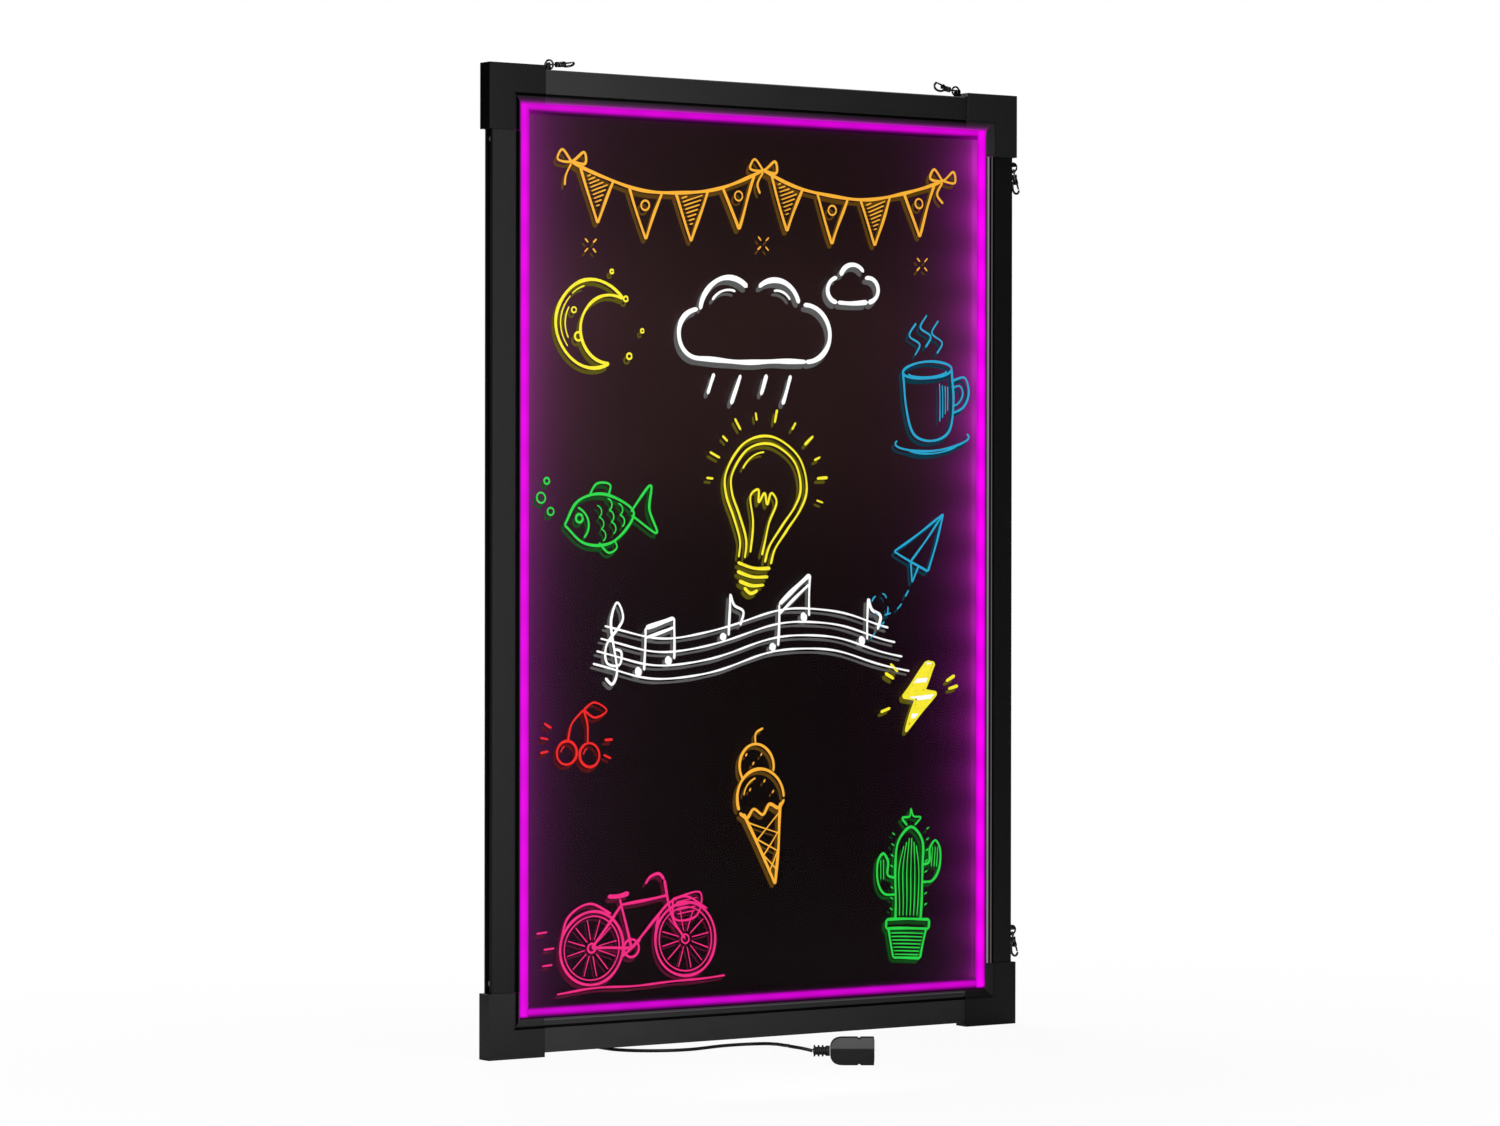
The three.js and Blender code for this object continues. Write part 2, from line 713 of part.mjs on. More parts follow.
// Cord route: out behind the rail, down, round on the table, under the rail and to the socket
const cordPoints = [
  [outletFromCorner, glandEnd + gap, outletHeight],
  [outletFromCorner, 23.5, outletHeight - 0.1],
  [63.3, 28.5, 8.8],
  [63.8, 33.5, 5.6],
  [64.8, 38.5, 2.4],
  [67, 44.5, 1.15],
  [71.5, 50.5, 1.1],
  [78, 53.5, 1.1],
  [85, 52.5, 1.1],
  [90.5, 47, 1.1],
  [93, 38, 1.1],
  [93.5, 26, 1.1],
  [93.5, 14, 1.1],
  [94.5, 4, 1.1],
  [99, -5, 1.1],
  [108, -13.5, 1.1],
  [121, -20, 1.1],
  [135.5, -21.5, 1.1],
  [149, -18.5, 1.1],
  [162, -15.5, 1.1],
  [174, -16, 1.2],
  [182, -19, 1.4],
  [187, -28, 2.1],
  [184, -40, 3.1],
  [177.5, -51.8, 4.5],
  [169.3, -68, 6.1],
  [161, -84.2, 7.6],
  [154.1, -98.9, 9],
  [146.8, -109.8, 10.2],
  [145.5, -113.8, 10.4],
  [145.8, -118, 10.3],
  [147.7, -121.8, 9.9],
  [150.1, -124.2, 9.25],
  [socketX - gap * Math.cos(socketHeading), socketY - gap * Math.sin(socketHeading), housingHalfHeight],
];

function supplyCord() {
  return piece('supply_cord', wireAlong(cordPoints, cordRadius, cordSides, cordSteps), softBlack);
}

// Socket pieces lie along X from the cord's end
function strainRelief() {
  const profile = [[0, 0]];
  for (let i = 0; i < reliefRibs; i += 1) {
    const start = i * reliefRibStep;
    profile.push([reliefRib, start], [reliefRib, start + reliefRibWidth]);
    profile.push([reliefGroove, start + reliefRibWidth], [reliefGroove, start + reliefRibStep]);
  }
  profile.push([reliefNeck, reliefRibs * reliefRibStep], [reliefNeck, reliefLength], [0, reliefLength]);
  return piece('cord_strain_relief', turned(profile, roundSides), softBlack);
}

// Housing: rounded shoulders and a notch seen from its broad side, a ridge along each broad face
const housingStart = reliefLength + gap;
const housingEnd = housingStart + housingLength;
function socketHousing() {
  const h = housingHalfHeight;
  const notchX = housingStart + housingLength * notchShare;
  const shape = new THREE.Shape();
  shape.moveTo(housingStart, -reliefNeck);
  shape.quadraticCurveTo(housingStart + housingShoulderStart, -h, housingStart + housingShoulder, -h);
  shape.lineTo(notchX - notchHalf, -h);
  shape.lineTo(notchX, -h + notchDepth);
  shape.lineTo(notchX + notchHalf, -h);
  shape.lineTo(housingEnd, -h);
  shape.lineTo(housingEnd, h);
  shape.lineTo(notchX + notchHalf, h);
  shape.lineTo(notchX, h - notchDepth);
  shape.lineTo(notchX - notchHalf, h);
  shape.lineTo(housingStart + housingShoulder, h);
  shape.quadraticCurveTo(housingStart + housingShoulderStart, h, housingStart, reliefNeck);
  const broad = slab(shape, -housingHalfRidge - overrun, housingHalfRidge + overrun);
  const ridge = h * housingRidgeShare;
  const section = outline([
    [-housingHalfEdge, -h],
    [housingHalfEdge, -h],
    [housingHalfRidge, ridge],
    [housingHalfEdge, h],
    [-housingHalfEdge, h],
    [-housingHalfRidge, ridge],
  ]);
  const settings = { depth: housingLength + 2 * overrun, bevelEnabled: false };
  const prism = new THREE.ExtrudeGeometry(section, settings);
  prism.rotateX(quarterTurn).rotateZ(quarterTurn).translate(housingStart - overrun, 0, 0);
  const pocket = block(housingEnd - shellLength - gap, housingEnd + overrun,
    -shellHalfWidth - gap, shellHalfWidth + gap, -shellHalfHeight - gap, shellHalfHeight + gap);
  const body = solid(broad).intersect(solid(prism)).subtract(solid(pocket));
  return piece('socket_housing', geometryOf(body), blackPlastic);
}

function socketShell() {
  const [start, end] = [housingEnd - shellLength, housingEnd + shellProud];
  const outer = block(start, end, -shellHalfWidth, shellHalfWidth, -shellHalfHeight, shellHalfHeight);
  const inner = block(start - overrun, end + overrun, -shellHalfWidth + shellWall, shellHalfWidth - shellWall,
    -shellHalfHeight + shellWall, shellHalfHeight - shellWall);
  return piece('socket_shell', carve([outer], [inner]), brightSteel);
}

function socketTongue() {
  const start = housingEnd - shellLength;
  const halfWidth = shellHalfWidth - shellWall - gap;
  const halfHeight = shellHalfHeight - shellWall - gap;
  const base = block(start, start + tongueBase, -halfWidth, halfWidth, -halfHeight, halfHeight);
  const tongueHalf = halfHeight + gap - tongueClear;
  const tongue = block(start, start + tongueBase + tongueLength,
    tongueShift - tongueThickness / 2, tongueShift + tongueThickness / 2, -tongueHalf, tongueHalf);
  return piece('socket_tongue', carve([base, tongue]), contactPlastic);
}

function socket() {
  const group = new THREE.Group();
  group.position.set(socketX, socketY, housingHalfHeight);
  group.rotation.z = socketHeading;
  group.add(strainRelief(), socketHousing(), socketShell(), socketTongue());
  return group;
}

// The board, with its outer left, front, bottom corner at the origin
const frame = new THREE.Group();
sides.forEach((side, index) => {
  const previous = sides[(index + sides.length - 1) % sides.length];
  const group = new THREE.Group();
  group.position.set(side.x, 0, side.z);
  group.rotation.y = side.turn;
  group.add(rail(side), cornerCap(side), cornerKey(side, previous), lightBar(side), lightStrip(side));
  if (side.corner !== 'bottom_left') group.add(stripLink(side));
  const entries = hangers.filter((entry) => entry.side === side.name);
  const seat = entries.length > 0 ? channelFloor - plateThickness - 2 * gap : channelFloor - gap;
  screwsOf(side).forEach((along, place) => {
    group.add(screw(`frame_screw_${side.name}_${place + 1}`, along, seat));
  });
  entries.forEach((entry) => group.add(hanger(entry)));
  frame.add(group);
});
frame.add(writingSheet(), backingBoard(), feedWire());

// The cord and what is on it, in the same frame
const lead = new THREE.Group();
lead.add(cordGland(), supplyCord(), socket());

// The origin is the middle of the underside of everything but the lead
const middle = new THREE.Box3().setFromObject(frame, true).getCenter(new THREE.Vector3());
const board = new THREE.Group();
board.position.set(-middle.x, -middle.y, 0);
board.add(frame, lead);

const part = new THREE.Group();
part.add(board);

export default part;
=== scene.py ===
"""Dresses the edge-lit writing board: finishes for every solid, rounded frame parts, bent-wire
hangers, the lead with its socket, and a marker drawing on the clear sheet."""

import json
import math

import bmesh
import bpy
import numpy as np
from bpy.props import FloatProperty, FloatVectorProperty, PointerProperty
from bpy.types import Operator, Panel, PropertyGroup
from mathutils import Euler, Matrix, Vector


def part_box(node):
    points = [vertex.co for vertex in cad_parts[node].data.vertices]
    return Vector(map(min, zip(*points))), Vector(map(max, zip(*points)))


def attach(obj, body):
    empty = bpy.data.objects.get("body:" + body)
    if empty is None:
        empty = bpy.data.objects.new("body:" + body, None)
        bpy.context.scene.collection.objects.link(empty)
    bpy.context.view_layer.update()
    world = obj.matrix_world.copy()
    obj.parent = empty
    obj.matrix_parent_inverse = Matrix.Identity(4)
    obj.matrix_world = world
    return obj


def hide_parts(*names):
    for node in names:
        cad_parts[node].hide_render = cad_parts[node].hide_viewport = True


bl_info = {
    "name": "LED writing board",
    "version": (1, 0, 0),
    "blender": (4, 5, 0),
    "location": "3D View > Sidebar > Board",
    "description": "Makes the visible pieces of an edge-lit writing board round its solids",
    "category": "Object",
}

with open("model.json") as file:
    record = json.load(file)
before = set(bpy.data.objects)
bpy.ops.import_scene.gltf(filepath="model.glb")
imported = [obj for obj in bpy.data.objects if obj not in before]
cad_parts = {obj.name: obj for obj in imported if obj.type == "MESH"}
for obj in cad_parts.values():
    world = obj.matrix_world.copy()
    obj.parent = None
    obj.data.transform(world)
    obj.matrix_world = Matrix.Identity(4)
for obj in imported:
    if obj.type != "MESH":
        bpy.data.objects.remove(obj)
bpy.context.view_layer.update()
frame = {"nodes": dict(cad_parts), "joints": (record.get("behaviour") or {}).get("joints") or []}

MM = 0.001
X, Y, Z = np.eye(3)
SIDES = ("left", "top", "right", "bottom")
CORNERS = ("bottom_left", "top_left", "top_right", "bottom_right")
HANGERS = ("top_left", "top_right", "right_upper", "right_lower")

# The board's outer left, front, bottom corner in the frame of the row, from a cap's own box
BOARD_CORNER = np.array(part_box("corner_cap_bottom_left")[0])
BOARD_WIDTH = (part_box("corner_cap_bottom_right")[1].x - BOARD_CORNER[0]) / MM
BOARD_HEIGHT = (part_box("corner_cap_top_left")[1].z - BOARD_CORNER[2]) / MM
LIP_EDGE = (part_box("left_rail")[1].x - BOARD_CORNER[0]) / MM
BAR_EDGE = (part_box("light_bar_left")[1].x - BOARD_CORNER[0]) / MM


# Values that a user may change


class BoardSizes(PropertyGroup):
    """Sizes of the pieces that the scene adds, in metres."""

    rail_edge: FloatProperty(
        name="Rail edge", description="Rounding of the rails' edges", default=0.00018, unit="LENGTH"
    )
    cap_edge: FloatProperty(
        name="Cap edge", description="Rounding of the caps' edges", default=0.0004, unit="LENGTH"
    )
    screw_head: FloatProperty(
        name="Screw head radius", description="Radius of a screw's pan head", default=0.00175, unit="LENGTH"
    )
    screw_shank: FloatProperty(
        name="Screw shank radius", description="Radius of a screw's shank", default=0.00085, unit="LENGTH"
    )
    screw_head_height: FloatProperty(
        name="Screw head height", description="Height of a pan head", default=0.0008, unit="LENGTH"
    )
    recess_depth: FloatProperty(
        name="Recess depth", description="Depth of a screw's cross recess", default=0.00055, unit="LENGTH"
    )
    ring_radius: FloatProperty(
        name="Ring radius", description="Middle radius of a hanger's ring", default=0.00275, unit="LENGTH"
    )
    ring_wire: FloatProperty(
        name="Ring wire", description="Radius of the ring's wire", default=0.00062, unit="LENGTH"
    )
    eye_radius: FloatProperty(
        name="Eye radius", description="Middle radius of a swivel eye", default=0.00125, unit="LENGTH"
    )
    eye_wire: FloatProperty(
        name="Eye wire", description="Radius of the eye's wire", default=0.00045, unit="LENGTH"
    )
    hook_wire: FloatProperty(
        name="Hook wire", description="Radius of the hook's wire", default=0.00075, unit="LENGTH"
    )
    barrel_radius: FloatProperty(
        name="Barrel radius", description="Radius of a hook's barrel", default=0.0018, unit="LENGTH"
    )
    cord_diameter: FloatProperty(
        name="Cord diameter", description="Diameter of the lead", default=0.0021, unit="LENGTH"
    )
    ink_height: FloatProperty(
        name="Ink height", description="Thickness of a marker stroke", default=0.00012, unit="LENGTH"
    )
    echo_drop: FloatProperty(
        name="Echo drop", description="How far a stroke's reflection lies below it",
        default=0.0026, unit="LENGTH"
    )


class BoardColours(PropertyGroup):
    """Colours of the board's finishes."""

    anodised: FloatVectorProperty(
        name="Rails", description="Black anodised rails",
        default=(0.0215, 0.0215, 0.0218), size=3, subtype="COLOR"
    )
    moulded: FloatVectorProperty(
        name="Caps", description="Black moulded caps",
        default=(0.0145, 0.0145, 0.0147), size=3, subtype="COLOR"
    )
    glow: FloatVectorProperty(
        name="Glow", description="Light bars", default=(1.0, 0.001, 0.98), size=3, subtype="COLOR"
    )
    halo: FloatVectorProperty(
        name="Halo", description="Light that leaks into the sheet",
        default=(1.0, 0.035, 0.93), size=3, subtype="COLOR"
    )
    # Colour of the painted reflection of the room's warm light on the backing
    haze: FloatVectorProperty(
        name="Haze", description="Warm haze in the backing",
        default=(0.024, 0.0108, 0.0102), size=3, subtype="COLOR"
    )
    steel: FloatVectorProperty(
        name="Hangers", description="Plated steel hangers",
        default=(0.07, 0.071, 0.073), size=3, subtype="COLOR"
    )
    orange: FloatVectorProperty(
        name="Orange ink", description="Orange marker", default=(0.9, 0.42, 0.035), size=3, subtype="COLOR"
    )
    yellow: FloatVectorProperty(
        name="Yellow ink", description="Yellow marker", default=(0.9, 0.78, 0.03), size=3, subtype="COLOR"
    )
    white: FloatVectorProperty(
        name="White ink", description="White marker", default=(0.95, 0.95, 0.95), size=3, subtype="COLOR"
    )
    green: FloatVectorProperty(
        name="Green ink", description="Green marker", default=(0.02, 0.62, 0.06), size=3, subtype="COLOR"
    )
    cyan: FloatVectorProperty(
        name="Cyan ink", description="Cyan marker", default=(0.02, 0.36, 0.6), size=3, subtype="COLOR"
    )
    pink: FloatVectorProperty(
        name="Pink ink", description="Pink marker", default=(0.8, 0.02, 0.2), size=3, subtype="COLOR"
    )
    red: FloatVectorProperty(
        name="Red ink", description="Red marker", default=(0.75, 0.012, 0.01), size=3, subtype="COLOR"
    )


class BoardStage(PropertyGroup):
    """Camera, lamps and floor."""

    camera_place: FloatVectorProperty(
        name="Camera", description="Place of the camera",
        default=(-1.75751, -2.52485, 0.32423), size=3, unit="LENGTH"
    )
    camera_turn: FloatVectorProperty(
        name="Camera turn",
        description="Turn of the camera about X, Y and Z",
        default=(math.radians(89.6106), math.radians(-0.0767), math.radians(-34.7015)),
        size=3,
        subtype="EULER",
    )
    lens: FloatProperty(name="Lens", description="Focal length for a 36 mm sensor, in mm", default=116.304)
    key_power: FloatProperty(name="Key", description="Power of the tall soft lamp, in watts", default=1.25)
    top_power: FloatProperty(name="Top", description="Power of the overhead lamp, in watts", default=1.6)
    back_power: FloatProperty(
        name="Back", description="Power of the lamp behind the board, in watts",
        default=9.0
    )
    room: FloatProperty(name="Room", description="Strength of the light from the room", default=0.12)
    floor_size: FloatProperty(
        name="Floor", description="Half the width of the floor",
        default=60.0, unit="LENGTH"
    )
    lamp_spacing: FloatProperty(
        name="Lamp step", description="Distance between two lamps of a strip", default=0.0333, unit="LENGTH"
    )


# Meshes: points and faces as whole arrays


def grid_faces(rows, columns):
    """Quads between neighbours on a grid stored row by row, whose last column joins the first."""
    r, c = np.meshgrid(np.arange(rows - 1), np.arange(columns), indexing="ij")
    here, after = r.ravel() * columns + c.ravel(), r.ravel() * columns + (c.ravel() + 1) % columns
    return np.stack([here, after, after + columns, here + columns], axis=1)


def carried(path, across, upward, section, scale):
    """Closed surface of a section carried along a path.

    point(s, k) = path(s) + scale_u(s)·u(k)·across(s) + scale_v(s)·v(k)·upward(s), where (u, v) is the
    section's outline. Both ends are drawn to a point on the path.
    """
    count = len(path)
    if np.ndim(scale) < 2:
        scale = np.reshape(scale, (-1, 1))
    scale = np.broadcast_to(scale, (count, 2))
    across, upward = (np.broadcast_to(way, (count, 3)) for way in (across, upward))
    u = scale[:, :1] * section[None, :, 0]
    v = scale[:, 1:] * section[None, :, 1]
    rings = path[:, None] + u[..., None] * across[:, None] + v[..., None] * upward[:, None]
    ends = [np.repeat(path[i][None, None], len(section), axis=1) for i in (0, -1)]
    points = np.concatenate([ends[0], rings, ends[1]])
    return points.reshape(-1, 3), grid_faces(count + 2, len(section))


def circle(sides):
    """Unit circle: (cos a, sin a)."""
    angle = np.arange(sides) * (2 * np.pi / sides)
    return np.stack([np.cos(angle), np.sin(angle)], axis=1)


def turned(profile, origin, axis, across, upward, sides):
    """Surface of revolution: a circle of radius r at each distance d along the axis, for each (r, d) of
    the profile."""
    path = origin + profile[:, 1:] * axis
    return carried(path, across, upward, circle(sides), profile[:, 0])


def softened(corners, radius, steps=4):
    """Rounds a line's inner corners: (1-t)²·A + 2t(1-t)·corner + t²·B, with A and B on its two sides."""
    corners = np.asarray(corners, float)
    middle = corners[1:-1]
    sides = [corners[:-2] - middle, corners[2:] - middle]
    lengths = [np.linalg.norm(side, axis=1, keepdims=True) for side in sides]
    a, b = (middle + side * np.minimum(radius / length, 0.45) for side, length in zip(sides, lengths))
    t = np.linspace(0, 1, steps)[None, :, None]
    curve = (1 - t) ** 2 * a[:, None] + 2 * t * (1 - t) * middle[:, None] + t**2 * b[:, None]
    return np.concatenate([corners[:1], curve.reshape(-1, corners.shape[1]), corners[-1:]])


def through(points, steps):
    """Smooth line through points: on each stretch a cubic whose end slopes follow from its neighbours and
    from the square roots of the distances between them."""
    p = np.asarray(points, float)
    p = np.concatenate([2 * p[:1] - p[1:2], p, 2 * p[-1:] - p[-2:-1]])
    p0, p1, p2, p3 = p[:-3], p[1:-2], p[2:-1], p[3:]
    spans = ((p0, p1), (p1, p2), (p2, p3))
    d0, d1, d2 = (np.sqrt(np.linalg.norm(b - a, axis=1, keepdims=True)) for a, b in spans)
    start = ((p1 - p0) / d0 - (p2 - p0) / (d0 + d1) + (p2 - p1) / d1) * d1
    end = ((p2 - p1) / d1 - (p3 - p1) / (d1 + d2) + (p3 - p2) / d2) * d1
    t = (np.arange(steps) / steps)[None, :, None]
    p1, p2, start, end = (a[:, None] for a in (p1, p2, start, end))
    line = (2 * t**3 - 3 * t**2 + 1) * p1 + (t**3 - 2 * t**2 + t) * start
    line = line + (3 * t**2 - 2 * t**3) * p2 + (t**3 - t**2) * end
    return np.concatenate([line.reshape(-1, p.shape[1]), p[-2:-1]])


def evenly(line, step):
    """The line's points again, an even distance of about step apart."""
    lengths = np.linalg.norm(np.diff(line, axis=0), axis=1)
    along = np.concatenate([[0], np.cumsum(lengths)])
    count = max(3, int(np.ceil(along[-1] / step)) + 1)
    places = np.linspace(0, along[-1], count)
    return np.stack([np.interp(places, along, column) for column in line.T], axis=1)


def headings(path):
    """Unit tangents of a path."""
    steps = np.gradient(path, axis=0)
    return steps / np.linalg.norm(steps, axis=1, keepdims=True)


def bead_scale(length_share, roundness):
    """Share of full width along a stroke, 0 to 1: rises as a quarter circle at both ends."""
    rise = np.clip(np.minimum(length_share, 1 - length_share) / roundness, 0, 1)
    return np.sqrt(1 - (1 - rise) ** 2)


def piece(name, shells, finish, body="board", crease=40.0):
    """Joins shells of points and faces into one mesh piece, welds its poles and turns its faces outwards."""
    starts = np.cumsum([0] + [len(points) for points, _ in shells[:-1]])
    points = np.concatenate([points for points, _ in shells])
    faces = np.concatenate([quads + start for (_, quads), start in zip(shells, starts)])
    mesh = bpy.data.meshes.new(name)
    mesh.from_pydata(points.tolist(), [], faces.tolist())
    work = bmesh.new()
    work.from_mesh(mesh)
    bmesh.ops.remove_doubles(work, verts=work.verts, dist=1e-7)
    bmesh.ops.dissolve_degenerate(work, edges=work.edges, dist=1e-8)
    bmesh.ops.recalc_face_normals(work, faces=work.faces)
    work.to_mesh(mesh)
    work.free()
    return shown(name, mesh, finish, body, crease)


def shown(name, mesh, finish, body, crease):
    """Puts a mesh in the scene with smooth shading, its finish and the body that it moves with."""
    mesh.polygons.foreach_set("use_smooth", np.ones(len(mesh.polygons), bool))
    mesh.set_sharp_from_angle(angle=math.radians(crease))
    mesh.materials.append(finish)
    made = bpy.data.objects.new(name, mesh)
    bpy.context.scene.collection.objects.link(made)
    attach(made, body)
    return made


def eased(node, name, finish, body, width, segments=2, limit=35.0):
    """A node's own shape with its flat faces merged and its edges rounded by a bevel of this width."""
    mesh = frame["nodes"][node].data.copy()
    mesh.name = name
    mesh.materials.clear()
    work = bmesh.new()
    work.from_mesh(mesh)
    bmesh.ops.remove_doubles(work, verts=work.verts, dist=2e-6)
    bmesh.ops.dissolve_limit(
        work, angle_limit=math.radians(0.6), verts=work.verts, edges=work.edges, use_dissolve_boundaries=False
    )
    work.to_mesh(mesh)
    work.free()
    made = shown(name, mesh, finish, body, limit)
    rounding = made.modifiers.new("rounding", "BEVEL")
    rounding.width = width
    rounding.segments = segments
    rounding.limit_method = "ANGLE"
    rounding.angle_limit = math.radians(limit)
    rounding.harden_normals = True
    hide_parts(node)
    return made


# Finishes


class Wire:
    """A shader socket that can be used in sums; each operation adds a Math node."""

    def __init__(self, tree, socket):
        self.tree, self.socket = tree, socket

    def math(self, operation, *values):
        return self.tree.add("ShaderNodeMath", {"operation": operation}, list(values))

    def __add__(self, other):
        return self.math("ADD", self, other)

    def __sub__(self, other):
        return self.math("SUBTRACT", self, other)

    def __rsub__(self, other):
        return self.math("SUBTRACT", other, self)

    def __mul__(self, other):
        return self.math("MULTIPLY", self, other)

    def __truediv__(self, other):
        return self.math("DIVIDE", self, other)

    def __rpow__(self, other):
        return self.math("POWER", other, self)

    def __lt__(self, other):
        return self.math("LESS_THAN", self, other)

    def __gt__(self, other):
        return self.math("GREATER_THAN", self, other)

    __radd__ = __add__
    __rmul__ = __mul__

    def least(self, other):
        return self.math("MINIMUM", self, other)

    def most(self, other):
        return self.math("MAXIMUM", self, other)

    def share(self):
        """The value kept between 0 and 1."""
        return self.most(0.0).least(1.0)

    def wave(self):
        return self.math("COSINE", self)

    def size(self):
        return self.math("ABSOLUTE", self)


class Tree:
    """Adds nodes to a node tree by one method, and gives their outputs as wires."""

    def __init__(self, tree):
        self.tree = tree

    def add(self, kind, settings, values, output=0):
        """A node of this kind: its settings first, then the values or links of its sockets."""
        node = self.tree.nodes.new(kind)
        for setting, value in settings.items():
            if setting == "stops":
                ramp = node.color_ramp.elements
                while len(ramp) < len(value):
                    ramp.new(0.5)
                for stop, (position, colour) in zip(ramp, value):
                    stop.position, stop.color = position, (*colour, 1)
            else:
                setattr(node, setting, value)
        pairs = enumerate(values) if isinstance(values, list) else values.items()
        for socket, value in pairs:
            target = self.found(node.inputs, socket)
            if isinstance(value, Wire):
                self.tree.links.new(value.socket, target)
            elif isinstance(value, tuple) and target.type == "RGBA":
                target.default_value = (*value[:3], 1)
            else:
                target.default_value = value
        return Wire(self, self.found(node.outputs, output))

    @staticmethod
    def found(sockets, key):
        """The socket at this number, or the first one with this name or identifier."""
        if isinstance(key, int):
            return sockets[key]
        return next(socket for socket in sockets if key in (socket.identifier, socket.name))

    def ray(self, kind):
        """1 for rays of this kind, such as the camera's, and 0 for the others."""
        return self.add("ShaderNodeLightPath", {}, {}, kind)

    def fade(self, wire, start, end, low, high):
        """low up to start, high from end on, and a straight line between them."""
        limits = {"From Min": start, "From Max": end, "To Min": low, "To Max": high}
        return self.add("ShaderNodeMapRange", {}, {"Value": wire, **limits}, "Result")


class Finish(Tree):
    """A material in the making: a Principled shader whose constants sit on its own sockets."""

    def __init__(self, name, constants):
        self.material = bpy.data.materials.new(name)
        self.material.use_nodes = True
        super().__init__(self.material.node_tree)
        self.shader = self.tree.nodes["Principled BSDF"]
        for socket, value in constants.items():
            self.shader.inputs[socket].default_value = value
        self.place = self.add("ShaderNodeTexCoord", {}, {}, "Object")

    def feed(self, socket, wire):
        """Links a wire to one of the shader's own sockets."""
        self.tree.links.new(wire.socket, self.shader.inputs[socket])

    def axes(self):
        """X, Y and Z of the surface, in metres."""
        node = self.add("ShaderNodeSeparateXYZ", {}, [self.place]).socket.node
        return [Wire(self, socket) for socket in node.outputs]

    def noise(self, scale, stretch=(1, 1, 1), detail=3.0, roughness=0.55):
        """Soft noise from 0 to 1, scale cells a metre, squeezed along each axis by stretch."""
        spread = self.add("ShaderNodeMapping", {}, {"Vector": self.place, "Scale": stretch})
        values = {"Vector": spread, "Scale": scale, "Detail": detail, "Roughness": roughness}
        return self.add("ShaderNodeTexNoise", {}, values)

    def specks(self, scale, reach):
        """Small round spots: 1 within reach of a cell's point, 0 outside."""
        near = self.add("ShaderNodeTexVoronoi", {}, {"Vector": self.place, "Scale": scale})
        return near < reach

    def blend(self, factor, first, second):
        """Colour between two colours."""
        values = {"Factor_Float": factor, "A_Color": first, "B_Color": second}
        return self.add("ShaderNodeMix", {"data_type": "RGBA"}, values, "Result_Color")

    def lit(self, level, colour):
        """Black at level 0 and the colour at level 1."""
        return self.blend(level, (0.0, 0.0, 0.0), tuple(colour))

    def both(self, first, second):
        """Two lights together: the sum of two colours."""
        return self.add("ShaderNodeVectorMath", {"operation": "ADD"}, [first, second])

    def shade(self, colour, low, high, factor):
        """A colour times low to high, as the factor goes from 0 to 1."""
        dark, light = (tuple(channel * times for channel in colour) for times in (low, high))
        return self.blend(factor, dark, light)

    def ramp(self, wire, stops):
        """A value read off straight lines between stops of (place, value)."""
        grey = {"stops": [(place, (value,) * 3) for place, value in stops]}
        return self.add("ShaderNodeSeparateColor", {}, [self.add("ShaderNodeValToRGB", grey, [wire])])

    def mixed(self, share, other):
        """Shows this share of another shader in place of the finish's own."""
        own = Wire(self, self.shader.outputs[0])
        mix = self.add("ShaderNodeMixShader", {}, [share, own, other])
        self.tree.links.new(mix.socket, self.tree.nodes["Material Output"].inputs["Surface"])

    def relief(self, height, strength, distance):
        """Small height differences, by a Bump node that feeds the normal."""
        values = {"Strength": strength, "Distance": distance, "Height": height}
        self.feed("Normal", self.add("ShaderNodeBump", {}, values))


def edge_distances(finish, inset):
    """Distances in mm from the four sides of a rectangle that lies this far inside the board, and then the
    depth in metres."""
    x, y, z = finish.axes()
    left = (x - BOARD_CORNER[0]) / MM - inset
    bottom = (z - BOARD_CORNER[2]) / MM - inset
    right = (BOARD_WIDTH - 2 * inset) - left
    top = (BOARD_HEIGHT - 2 * inset) - bottom
    return {"left": left, "right": right, "top": top, "bottom": bottom}, y


def lamp_wave(run, stage):
    """Cosine along a strip that is 1 at every lamp, with the run along the strip in mm."""
    return (run * (2 * math.pi * MM / stage.lamp_spacing)).wave()


# Across the frame, in mm from its outer side: where the shadow of the groove starts and ends on each side,
# and the level and reach of the light that spills on the lip
RIMS = {
    "left": (19.5, 22.4, 0.3, 0.5),
    "right": (17.62, 18.4, 0.02, 0.6),
    "top": (17.62, 19.6, 0.5, 0.9),
    "bottom": (17.62, 19.5, 0.02, 0.4),
}
# How fast the groove's shadow sets in and fades, per mm, and its colour
SHADOW_STARTS, SHADOW_ENDS = 6, 1.6
GROOVE_BLACK = (0.0006, 0.0006, 0.0006)
# Where the smoother lip starts, in mm from the outer side
LIP_START = 19.2
# What lies this far behind the caps' face still counts as the front, in metres
FRONT_DEPTH = 0.003
# At a mitre both sides count within this many mm
MITRE = 0.002
# Light caught by the lip: which side, how far across the frame in mm, half its width, colour
GLINTS = (
    ("right", 22.5, 0.9, (0.37, 0.27, 0.37)),
    ("right", 19.5, 0.7, (0.16, 0.155, 0.15)),
    ("bottom", 22.7, 0.55, (0.06, 0.06, 0.06)),
)


